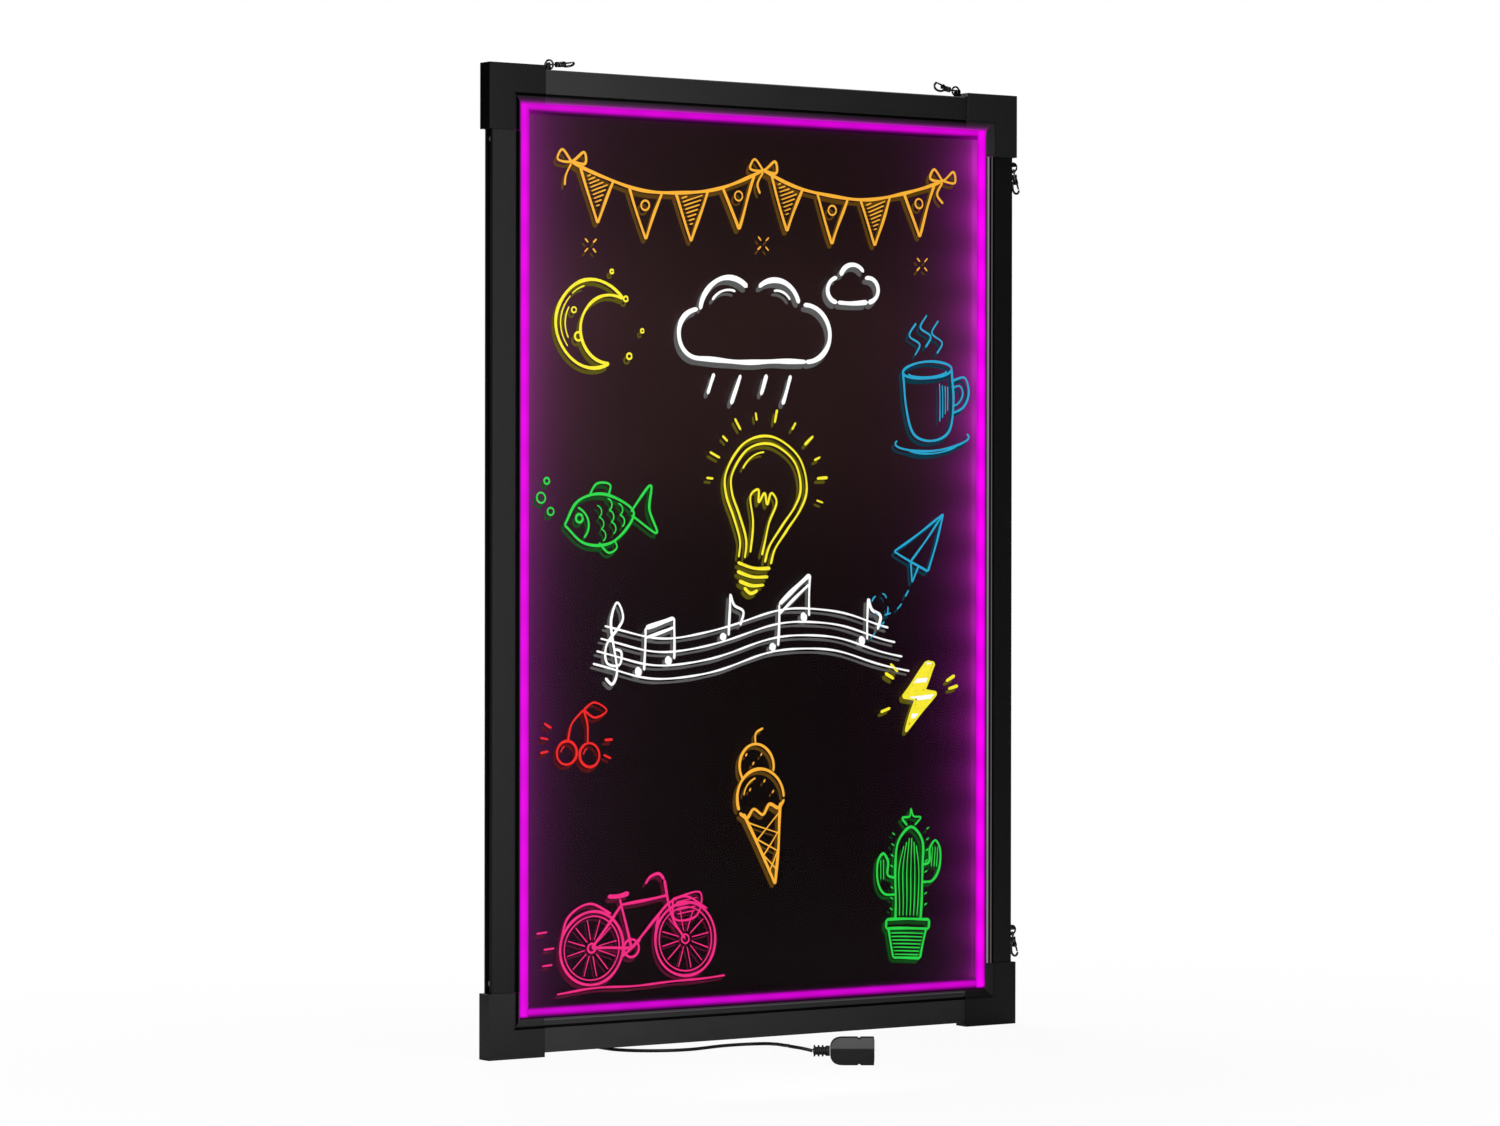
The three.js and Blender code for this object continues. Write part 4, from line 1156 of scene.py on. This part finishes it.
class BOARD_OT_hangers(Operator):
    """Make the hangers: bracket, ring, swivel eye, hook of bent wire and sprung gate"""

    bl_idname = "board.hangers"
    bl_label = "Hangers"

    def execute(self, context):
        self.sizes = context.scene.board_sizes
        steel = tuple(context.scene.board_colours.steel)
        self.wire = plated("hanger_nickel", steel, 0.16)
        self.sheet = plated("bracket_nickel", tuple(0.8 * channel for channel in steel), 0.26)
        joints = {joint["name"]: joint for joint in frame["joints"]}
        for name in HANGERS:
            bracket = f"hook_bracket_{name}"
            eased(bracket, f"bracket_{name}", self.sheet, "board", 0.00012, 2, 40.0)
            pin = np.array(joints[f"ring_swing_{name}"]["pos_m"])
            along = np.array(joints[f"hook_swivel_{name}"]["axis"], float)
            outward = np.array(joints[f"eye_swing_{name}"]["axis"], float)
            swing = np.array(joints[f"eye_swing_{name}"]["pos_m"])
            gate = np.array(joints[f"gate_hinge_{name}"]["pos_m"])
            side = np.cross(outward, along)
            self.ring(name, swing, along, side, outward)
            self.eye(name, swing, along, side, outward)
            raised = (gate - pin) - ((gate - pin) @ along) * along
            raised /= np.linalg.norm(raised)
            self.hook(name, pin, gate, along, np.cross(raised, along), raised)
        return {"FINISHED"}

    def loop(self, centre, first, second, normal, radius, wire):
        """Closed ring: centre + radius·(cos a·first + sin a·second), and its wire is a circle too."""
        angle = np.linspace(0, 2 * np.pi, 57)[:, None]
        outward = np.cos(angle) * first + np.sin(angle) * second
        section = circle(18)[None]
        round_wire = section[..., :1] * outward[:, None] + section[..., 1:] * normal
        rings = (centre + radius * outward)[:, None] + wire * round_wire
        return rings.reshape(-1, 3), grid_faces(*rings.shape[:2])

    def ring(self, name, swing, along, side, outward):
        """Ring of wire that hangs from the pin, with the eye at its far end."""
        radius = self.sizes.ring_radius
        shell = self.loop(swing - along * radius, along, outward, side, radius, self.sizes.ring_wire)
        made = piece(f"ring_{name}", [shell], self.wire, f"ring_{name}")
        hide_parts(f"hook_ring_{name}")

    def eye(self, name, swing, along, side, outward):
        """Loop of wire round the ring, with a stem and a head that turns in the hook's barrel."""
        sizes = self.sizes
        shells = [self.loop(swing, along, side, outward, sizes.eye_radius, sizes.eye_wire)]
        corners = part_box(f"swivel_eye_{name}")
        reach = min(max(abs((np.array(corner) - swing) @ along) for corner in corners), EYE_REACH)
        stem, head, neck = 0.55 * MM, 1.05 * MM, reach - 1.0 * MM
        corners = [(0, sizes.eye_radius), (stem, sizes.eye_radius), (stem, neck), (head, neck), (head, reach)]
        corners.append((0, reach))
        shells.append(turned(softened(corners, 0.1 * MM), swing, along, side, outward, 24))
        made = piece(f"eye_{name}", shells, self.wire, f"eye_{name}")
        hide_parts(f"swivel_eye_{name}")

    def hook(self, name, pin, gate, along, side, outward):
        """Barrel turned about the chain's line, wire carried along a smooth loop, and the gate's cheeks."""
        sizes = self.sizes
        pivot = np.array([(gate - pin) @ along, (gate - pin) @ outward])
        end = pivot[0] - 1.1 * MM
        radius = sizes.barrel_radius
        groove, bore, mouth = radius * 0.9, 1.35 * MM, 0.8 * MM
        wall = [(0, 0), (radius, 0), (radius, 1.05 * MM), (groove, 1.2 * MM), (groove, 1.5 * MM)]
        wall += [(radius, 1.65 * MM), (radius, 3.6 * MM), (mouth, 3.6 * MM), (mouth, 2.8 * MM)]
        wall += [(bore, 2.8 * MM), (bore, 0.8 * MM), (0, 0.8 * MM)]
        profile = softened([(r, end - d) for r, d in wall], 0.14 * MM)
        shells = [turned(profile, pin, along, side, outward, 36)]
        flat = evenly(through(HOOK_SHARES * (HOOK_SPAN, HOOK_HALF), 12), 0.16 * MM)
        path = pin + (end + flat[:, :1]) * along + flat[:, 1:] * outward
        heading = headings(path)
        share = np.linspace(0, 1, len(path))
        taper = np.sqrt(np.clip(1 - (np.clip(share - 1 + HOOK_TIP, 0, 1) / HOOK_TIP) ** 2, 0, 1))
        shells.append(carried(path, side, np.cross(side, heading), circle(18), sizes.hook_wire * taper))
        cheek = np.array([(-1.5, -1.5), (1.9, -1.65), (2.3, 0), (1.5, 0.8), (-1.5, 0.4)]) * MM
        cheek = softened(np.concatenate([cheek, cheek[:1]]), 0.4 * MM)[:-1]
        centre = pin + pivot[0] * along + pivot[1] * outward
        for way in (-1, 1):
            places = np.array([0.58, 0.66, 1.1, 1.18]) * MM * way
            line = centre + places[:, None] * side
            shells.append(carried(line, along, outward, cheek, np.array([0.93, 1.0, 1.0, 0.93])))
        made = piece(f"hook_{name}", shells, self.wire, f"hook_{name}")
        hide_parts(f"snap_hook_{name}")
        gate_name = f"gate_{name}"
        eased(f"hook_{gate_name}", gate_name, self.sheet, gate_name, 0.00009, 2, 30.0)


# Drawing


class Sketch:
    """Marker strokes by colour: each is a line of points in mm from the board's corner, and a width."""

    def __init__(self):
        self.strokes = {}

    def take(self, colour):
        """Draws what comes next with this marker, from the board's corner."""
        self.colour = colour
        self.at(0, 0)

    def at(self, x, z, size=1.0, turn=0.0):
        """Moves, sizes and turns what is drawn next."""
        angle = math.radians(turn)
        self.spin = size * np.array([[math.cos(angle), math.sin(angle)], [-math.sin(angle), math.cos(angle)]])
        self.shift = np.array([x, z])

    def add(self, width, points, colour=None):
        """One stroke through these points, joined by straight lines."""
        placed = np.asarray(points, float) @ self.spin + self.shift
        self.strokes.setdefault(colour or self.colour, []).append((placed, width))

    def curve(self, width, *points):
        """One smooth stroke."""
        self.add(width, through(points, 10))

    def line(self, width, *points):
        """A straight stroke between each two points."""
        for first, second in zip(points[:-1], points[1:]):
            self.add(width, [first, second])

    def ring(self, width, x, z, rx, rz=None, start=0.0, end=372.0):
        """Arc of an ellipse between two angles in degrees, if none are given a little over a turn."""
        angle = np.radians(np.linspace(start, end, max(8, int(abs(end - start) / 8))))
        self.add(width, np.stack([x + rx * np.cos(angle), z + (rz or rx) * np.sin(angle)], axis=1))

    def ticks(self, width, x, z, near, far, *angles):
        """Short strokes that point away from (x, z)."""
        for angle in np.radians(angles):
            way = np.array([math.cos(angle), math.sin(angle)])
            self.add(width, [(x, z) + near * way, (x, z) + far * way])

    def hatch(self, width, outline, step, slope=0.0, colours=(None,)):
        """Fills an outline with strokes of this slope, step apart, that end where they cross it."""
        corners = np.array(outline, float)
        corners[:, 1] -= slope * corners[:, 0]
        following = np.roll(corners, -1, axis=0)
        rows = np.arange(corners[:, 1].min() + step / 2, corners[:, 1].max(), step)
        for number, z in enumerate(rows):
            crossed = (corners[:, 1] > z) != (following[:, 1] > z)
            a, b = corners[crossed], following[crossed]
            xs = np.sort(a[:, 0] + (z - a[:, 1]) * (b[:, 0] - a[:, 0]) / (b[:, 1] - a[:, 1]))
            for x0, x1 in zip(xs[::2], xs[1::2]):
                if x1 - x0 > 2 * width:
                    ends = [(x, z + slope * x) for x in (x0 + width * 0.4, x1 - width * 0.4)]
                    self.add(width, ends, colours[number % len(colours)])


def garland(pen):
    """Two swags of string, z = z0 - 4·sag·t·(1-t), hung with pennants."""
    t = np.linspace(0, 1, 40)
    for x0, x1, z0, sag in ((62, 206, 552, 17), (206, 348, 552, 15)):
        pen.add(2.3, np.stack([x0 + (x1 - x0) * t, z0 - 4 * sag * t * (1 - t)], axis=1))
        for number, middle in enumerate((0.13, 0.38, 0.62, 0.87)):
            half = 0.085
            ends = np.array([middle - half, middle + half])
            x, z = x0 + (x1 - x0) * ends, z0 - 4 * sag * ends * (1 - ends)
            tip = (x.mean(), z.mean() - 31)
            pen.line(2.1, (x[0], z[0]), tip, (x[1], z[1]))
            inner = [(x[0] + 3.5, z[0] - 2.5), (x[1] - 3.5, z[1] - 2.5), (tip[0], tip[1] + 7)]
            if number % 2 == 0:
                pen.hatch(0.9, inner, 2.6, 0.35)
            else:
                pen.ring(1.3, x.mean(), z.mean() - 9.5, 3.0)
    for x, way in ((62, -1), (206, 0), (348, 1)):
        pen.at(x, 552)
        pen.curve(1.8, (0, 0), (-7, 7), (-10, 1), (0, 0), (9, 6), (10, -1), (0, 0))
        pen.curve(1.6, (0, -1), (-4, -9), (-2 + 3 * way, -15))
    pen.at(0, 0)
    for x, z in ((76, 500), (332, 497), (206, 506)):
        pen.ticks(1.2, x, z, 2.4, 6.0, 45, 135, 225, 315)


def moon(pen):
    """Crescent between a circle and a smaller one set to its right."""
    pen.at(78, 452, 1.05, -14)
    pen.ring(2.3, 0, 0, 26, 26, 50, 310)
    pen.ring(2.1, 12, 0, 20.4, 20.4, 76.7, 283.3)
    for start, end, radius in ((150, 232, 22.6), (165, 222, 19.4), (120, 146, 22.8)):
        pen.ring(1.0, 0, 0, radius, radius, start, end)
    pen.ring(1.4, -8, -10, 2.4)
    pen.ring(1.2, -15, 4, 1.6)
    pen.at(78, 452)
    for x, z, radius in ((24, 16, 1.6), (36, -4, 1.2), (27, -20, 1.8), (14, 33, 1.2)):
        pen.ring(1.3, x, z, radius)


def clouds(pen):
    """Two clouds of overlapping arcs with slanting rain."""
    pen.at(202, 452, 1.12)
    large = ((-40, -4, 14, 92, 272), (-20, 9, 19, 48, 178), (12, 11, 17, 12, 132), (34, -2, 16, -92, 98))
    small = ((-16, -2, 11, 95, 270), (0, 7, 14, 30, 165), (17, -2, 11, -90, 110))
    for x, z, radius, start, end in large:
        pen.ring(3.6, x, z, radius, radius, start, end)
    pen.curve(3.4, (-42, -18), (-10, -19), (34, -18))
    pen.ring(1.8, -20, 9, 13, 12, 70, 150)
    pen.ring(1.6, 13, 11, 11, 11, 30, 100)
    for x, across, down in ((-30, 4, 12), (-12, 6, 17), (6, 4, 12), (23, 6, 17)):
        pen.line(2.9, (x, -26), (x - across, -26 - down))
    pen.at(276, 480, 0.72)
    for x, z, radius, start, end in small:
        pen.ring(3.4, x, z, radius, radius, start, end)
    pen.curve(3.2, (-16, -13), (0, -14), (17, -13))


def mug(pen):
    """Mug with a double handle, a saucer and three wisps of steam."""
    pen.at(338, 408, 1.12, 5)
    pen.ring(1.7, 0, 18, 18, 4.8)
    pen.ring(1.1, 0, 17, 14, 3.0, 180, 362)
    pen.curve(1.8, (-18, 18), (-17, -2), (-13, -18), (-6, -22), (6, -22), (13, -18), (17, -2), (18, 18))
    pen.curve(1.7, (17.5, 11), (27, 12), (29, 3), (24, -5), (15.5, -8))
    pen.curve(1.2, (17, 7), (23, 7.5), (24.5, 3), (21, -2), (16.5, -4))
    pen.ring(1.6, 0, -23, 27, 5.5, 160, 380)
    pen.ring(1.1, 0, -26, 19, 4, 200, 340)
    for x, z in ((8, 10), (10, 9), (12, 8.5), (13.8, 8)):
        pen.line(0.9, (x, z), (x - 1.4, -12 + (x - 8)))
    for x, lift in ((-8, 0), (0, 4), (8, 0)):
        pen.curve(1.4, (x, 27 + lift), (x + 4, 33 + lift), (x - 3, 39 + lift), (x + 2, 46 + lift))


def bulb(pen):
    """Light bulb in a double line: the same curve drawn twice, moved by its normals both ways."""
    pen.at(206, 338, 1.12, -10)
    left = [(-9, -30), (-10, -21), (-17, -8), (-24, 4), (-26, 15), (-18, 32)]
    curve = through([*left, (0, 39), *[(-x, z) for x, z in left[::-1]]], 10)
    normal = headings(curve) @ np.array([[0, 1], [-1, 0]])
    for way in (-2.1, 2.1):
        pen.add(1.7, curve + way * normal)
    for z, half in ((-33, 11.5), (-38, 11), (-43, 9)):
        pen.curve(2.4, (-half, z), (0, z - 1), (half, z + 0.6))
    pen.curve(2.2, (-5, -46), (0, -48.5), (5, -46))
    pen.curve(1.6, (-4, -26), (-5.5, -8), (-9, 6), (-4.5, 10), (-3, 3), (0, 9), (3, 3), (4.5, 10), (9, 6),
              (5.5, -8), (4, -26))
    pen.ring(1.3, 0, 15, 18, 17, 105, 165)
    pen.ticks(2.0, 0, 14, 35, 43, 15, 50, 90, 130, 165)
    pen.ticks(1.5, 0, 14, 36, 41, 32, 70, 110, 148, -5, 185)


def music(pen):
    """Four wavy lines, z = 8.5k - 12 + 9·sin(x / 33 + 0.4), with notes on them."""
    pen.at(200, 252)
    x = np.linspace(-122, 122, 90)
    for number in range(4):
        wave = 9 * np.sin(x / 33 + 0.4)
        reach = slice(number, 90 - 2 * number)
        pen.add(1.4, np.stack([x, 8.5 * number - 12 + wave], axis=1)[reach])
    for places in (((-88, 0), (-66, 1)), ((-24, 2), (-24, 2)), ((14, 0), (38, 2)), ((84, 1), (84, 1))):
        tops = []
        for place, rung in places:
            z = 8.5 * rung - 9 + 9 * math.sin(place / 33 + 0.4)
            pen.add(6.2, [(place - 2.4, z - 1.0), (place + 2.4, z + 1.0)])
            pen.line(1.9, (place + 4.3, z + 0.6), (place + 4.8, z + 27))
            tops.append((place + 4.8, z + 27))
        if places[0] != places[1]:
            pen.line(3.2, tops[0], tops[1])
            pen.line(2.2, (tops[0][0], tops[0][1] - 6), (tops[1][0], tops[1][1] - 6))
        else:
            top = np.array(tops[0])
            pen.curve(2.2, tuple(top), tuple(top + (3, -7)), tuple(top + (10, -11)), tuple(top + (8, -20)))
    pen.curve(1.9, (-113, -20), (-108, -24), (-104, -17), (-109, 16), (-104, 27), (-100, 17), (-112, 0),
              (-111, -11), (-102, -12), (-101, -4), (-107, -2))


def ices(pen):
    """Cone with a waffle pattern and two scoops."""
    pen.at(206, 148, 1.05, 12)
    pen.line(2.2, (-14, 0), (0, -48), (14, 0))
    pen.curve(2.2, (-17, 1), (-12, -3), (-6, 1), (0, -4), (6, 1), (12, -3), (17, 1))
    pen.ring(2.2, 0, 5, 17, 19, -8, 188)
    pen.ring(2.0, 1, 26, 12.5, 13, -28, 208)
    pen.curve(1.5, (3, 39), (5, 45), (11, 47))
    pen.ring(1.2, 0, 6, 12, 13, 95, 160)
    for share in (0.12, 0.34, 0.56, 0.78):
        left, right = (-14 * (1 - share), -48 * share), (14 * (1 - share), -48 * share)
        low = min(1.0, share + 0.26)
        pen.line(1.0, left, (14 * (1 - low), -48 * low))
        pen.line(1.0, right, (-14 * (1 - low), -48 * low))
    for x, z in ((-7, 12), (4, 15), (9, 7), (-2, 27), (5, 31), (-6, 33)):
        pen.line(1.2, (x, z), (x + 1.6, z + 1.8))


def bicycle(pen):
    """Bicycle: double wheels with spokes, frame, saddle, handlebar and a basket."""
    pen.at(112, 78, 1.0, 2)
    for x in (-35, 35):
        pen.ring(1.9, x, -12, 23)
        pen.ring(1.0, x, -12, 20)
        pen.ring(1.4, x, -12, 2.8)
        pen.ticks(0.8, x, -12, 5, 18.5, *range(10, 370, 30))
    pen.line(2.0, (-35, -12), (-6, -14), (-13, 17))
    pen.line(2.0, (-35, -12), (-12, 13), (22, 17))
    pen.line(2.0, (-6, -14), (23, 12))
    pen.curve(2.0, (20, 27), (23, 12), (28, -2), (35, -12))
    pen.curve(2.0, (20, 27), (16, 31), (9, 29), (6, 25))
    pen.curve(3.4, (-22, 19), (-14, 18.5), (-6, 20))
    pen.ring(1.6, -6, -14, 5.5)
    pen.line(1.6, (-13, -19), (1, -9))
    pen.curve(1.5, (26, 14), (28, 1), (44, 2), (47, 16), (26, 14))
    pen.hatch(0.8, [(28, 13), (29.5, 3), (43, 4), (45, 14)], 2.6, 0.1)
    pen.curve(1.6, (-58, -8), (-52, 9), (-36, 16), (-20, 8))
    pen.curve(1.6, (13, -3), (18, 8), (34, 15), (52, 6))
    for x, z in ((-72, -20), (-70, -10), (-75, 0)):
        pen.line(1.3, (x, z), (x + 8, z + 0.6))
    pen.curve(1.4, (-62, -38), (-30, -37), (10, -38), (64, -37))


def cactus(pen):
    """Cactus in a pot, filled with ribs and spines."""
    pen.at(322, 98, 1.0, -2)
    pen.curve(1.9, (-10, -26), (-11, 8), (-9, 26), (0, 34), (9, 26), (11, 8), (10, -26))
    pen.curve(1.8, (-11, -10), (-20, -9), (-25, -2), (-25, 12), (-21, 17), (-17, 12), (-17, 3), (-11, 1))
    pen.curve(1.8, (11, -2), (19, -1), (24, 6), (24, 20), (20, 25), (16, 20), (16, 11), (11, 9))
    pen.line(1.9, (-17, -26), (17, -26), (17, -32), (-17, -32), (-17, -26))
    pen.line(1.9, (-15, -32), (-11, -51), (11, -51), (15, -32))
    pen.hatch(0.9, [(-14, -33), (-10, -50), (10, -50), (14, -33)], 2.3, 0.0)
    for x in (-7, -4.2, -1.4, 1.4, 4.2, 7):
        pen.curve(0.9, (x, -24), (x * 1.15, 6), (x * 0.7, 28 - abs(x) * 0.9))
    for x in (-22.8, -20.6, 18, 20.2, 22.2):
        pen.curve(0.8, (x, 0 if x < 0 else 8), (x, 6 if x < 0 else 14), (x, 13 if x < 0 else 21))
    for z in range(-20, 30, 7):
        pen.line(1.0, (-12.5, z), (-15, z + 1.5))
        pen.line(1.0, (12.5, z + 3), (15, z + 4.5))
    pen.curve(1.5, (-3, 35), (-7, 40), (-1, 41), (0, 46), (2, 41), (8, 40), (3, 35))


def fish(pen):
    """Fish with scales, fins and bubbles."""
    pen.at(86, 330, 1.05, 10)
    pen.curve(1.9, (-28, 2), (-16, 14), (4, 15), (22, 1), (4, -13), (-16, -11), (-28, 2))
    pen.curve(1.8, (20, 2), (36, 15), (33, 1), (36, -14), (20, 0))
    pen.ring(1.6, -17, 4, 2.4)
    pen.ring(1.4, -26, 1, 15, 12, -48, 52)
    for x, z in ((-4, 6), (-4, -1), (-4, -8), (4, 9), (4, 2), (4, -5), (11, 5), (11, -2)):
        pen.ring(1.0, x, z, 3.6, 3.6, -75, 75)
    pen.curve(1.5, (-8, 15), (-1, 22), (8, 20), (6, 14))
    pen.curve(1.4, (-6, -12), (0, -19), (6, -17), (5, -12))
    for x, z, radius in ((-36, 12, 2.2), (-41, 21, 3.0), (-35, 30, 1.8)):
        pen.ring(1.3, x, z, radius)


def bolt(pen):
    """Bolt filled with marker rows, two of them white, between rays."""
    outline = [(3, 25), (-14, -2), (-3, -2), (-8, -25), (14, 5), (3, 5), (10, 25)]
    pen.at(330, 216, 0.95, -8)
    pen.hatch(2.1, outline, 1.5, 0.25, ["yellow"] * 6 + ["white"] * 2)
    pen.line(2.2, *outline, outline[0])
    pen.ticks(2.4, 0, 0, 25, 34, 145, 158, 20, 33, 205)


def plane(pen):
    """Paper plane with a dashed trail."""
    pen.at(330, 312, 1.0, 12)
    pen.line(1.6, (-20, 3), (24, 18), (4, -16), (-20, 3))
    pen.line(1.5, (24, 18), (-8, -6), (-10, -20), (-2, -10))
    trail = through([(-14, -24), (-26, -34), (-42, -34), (-44, -24), (-34, -22), (-34, -36), (-50, -48)], 10)
    dashes = evenly(trail, 2.6)
    for start in range(0, len(dashes) - 2, 4):
        pen.add(1.2, dashes[start : start + 3])


def cherries(pen):
    """Pair of cherries on their stalks, with rays."""
    pen.at(66, 196, 1.05)
    for x, z in ((-7, -9), (9, -11)):
        pen.ring(1.8, x, z, 7)
        pen.ring(1.0, x, z, 4.2, 4.2, 110, 175)
    pen.curve(1.5, (-6, -2), (-3, 8), (5, 16))
    pen.curve(1.5, (8, -4), (8, 7), (5, 16))
    pen.curve(1.4, (5, 16), (12, 20), (21, 15), (13, 11), (5, 16))
    pen.ticks(1.7, 0, -4, 20, 26, 150, 170, 190, -20, 5)


# The motifs in the order in which they are drawn, each with its marker
MOTIFS = {
    garland: "orange",
    moon: "yellow",
    clouds: "white",
    mug: "cyan",
    bulb: "yellow",
    music: "white",
    ices: "orange",
    bicycle: "pink",
    cactus: "green",
    fish: "green",
    bolt: "yellow",
    plane: "cyan",
    cherries: "red",
}
# The reflections lie this far in front of the backing, are this thick, and are this much wider and dimmer
ECHO_GAP, ECHO_HEIGHT = 0.01 * MM, 0.06 * MM
ECHO_WIDTH, ECHO_LEVEL = 1.25, 0.12
# How far a hand-drawn line strays, in mm
WAVER = 0.35
# A stroke's section: half its width and its whole height are 1
BEAD = np.array([(-1, 0), (-0.8, 0.7), (-0.3, 1), (0.3, 1), (0.8, 0.7), (1, 0)])


class BOARD_OT_drawing(Operator):
    """Draw the doodles with seven markers on the sheet, and their faint reflections in the backing"""

    bl_idname = "board.drawing"
    bl_label = "Marker drawing"

    def execute(self, context):
        sizes, colours = context.scene.board_sizes, context.scene.board_colours
        pen = Sketch()
        for motif, colour in MOTIFS.items():
            pen.take(colour)
            motif(pen)
        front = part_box("writing_sheet")[0].y
        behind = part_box("backing_board")[0].y - ECHO_GAP
        drop = np.array([0.4, -sizes.echo_drop / MM])
        for colour, strokes in pen.strokes.items():
            shade = tuple(getattr(colours, colour))
            marks = [self.stroke(line, width, front, sizes.ink_height) for line, width in strokes]
            piece(f"marker_{colour}", marks, ink(f"ink_{colour}", shade, 1.0), crease=60.0)
            wider = ((line + drop, width * ECHO_WIDTH) for line, width in strokes)
            echoes = [self.stroke(line, width, behind, ECHO_HEIGHT) for line, width in wider]
            dim = ink(f"echo_{colour}", shade, ECHO_LEVEL)
            piece(f"echo_{colour}", echoes, dim, crease=60.0)
        return {"FINISHED"}

    def stroke(self, line, width, depth, height):
        """Bead of ink: a lens-shaped section carried along the line, drawn to a point at both ends.

        The line wavers by sines of its own place, so lines that meet stay together, and the width swells and
        thins by a slow sine along it.
        """
        flat = evenly(line, min(1.1, 0.35 + 0.25 * width))
        x, z = flat.T
        waver = np.stack([np.sin(0.13 * z + 0.05 * x), np.sin(0.11 * x - 0.04 * z + 1.0)], axis=1)
        flat = flat + WAVER * waver
        length = np.linalg.norm(np.diff(flat, axis=0), axis=1).sum()
        share = np.linspace(0, 1, len(flat))
        heading = headings(np.stack([flat[:, 0], np.zeros(len(flat)), flat[:, 1]], axis=1))
        across = np.cross(heading, Y)
        swell = 0.9 + 0.12 * np.sin(0.21 * x + 0.17 * z)
        ends = bead_scale(share, min(0.5, 0.62 * width / max(length, width)))
        wide = width / 2 * MM * swell * np.maximum(ends, 0.12)
        tall = height * np.maximum(ends, 0.3)
        right, up = flat.T * MM + BOARD_CORNER[[0, 2], None]
        path = np.stack([right, np.full(len(flat), depth), up], axis=1)
        return carried(path, across, -Y, BEAD, np.stack([wide, tall], axis=1))


# Panel and running


STEPS = (
    BOARD_OT_stage,
    BOARD_OT_lead,
    BOARD_OT_rails,
    BOARD_OT_caps,
    BOARD_OT_sheet,
    BOARD_OT_lights,
    BOARD_OT_screws,
    BOARD_OT_hangers,
    BOARD_OT_drawing,
)
GROUPS = {"board_sizes": BoardSizes, "board_colours": BoardColours, "board_stage": BoardStage}


class BOARD_PT_panel(Panel):
    """Lists the steps that make the board"""

    bl_idname = "BOARD_PT_panel"
    bl_label = "LED writing board"
    bl_space_type = "VIEW_3D"
    bl_region_type = "UI"
    bl_category = "Board"

    def draw(self, context):
        for step in STEPS:
            self.layout.operator(step.bl_idname)
        for group, kind in GROUPS.items():
            box = self.layout.box()
            for name in kind.__annotations__:
                box.prop(getattr(context.scene, group), name)


def register():
    """Makes the property groups, operators and panel known to Blender."""
    for kind in (*GROUPS.values(), *STEPS, BOARD_PT_panel):
        bpy.utils.register_class(kind)
    for group, kind in GROUPS.items():
        setattr(bpy.types.Scene, group, PointerProperty(type=kind))


def unregister():
    """Takes them out again, last one first."""
    for group in GROUPS:
        delattr(bpy.types.Scene, group)
    for kind in (BOARD_PT_panel, *reversed(STEPS), *reversed(GROUPS.values())):
        bpy.utils.unregister_class(kind)


def main():
    """Runs every step in order."""
    register()
    for step in STEPS:
        area, name = step.bl_idname.split(".")
        getattr(getattr(bpy.ops, area), name)()


if __name__ == "__main__":
    main()
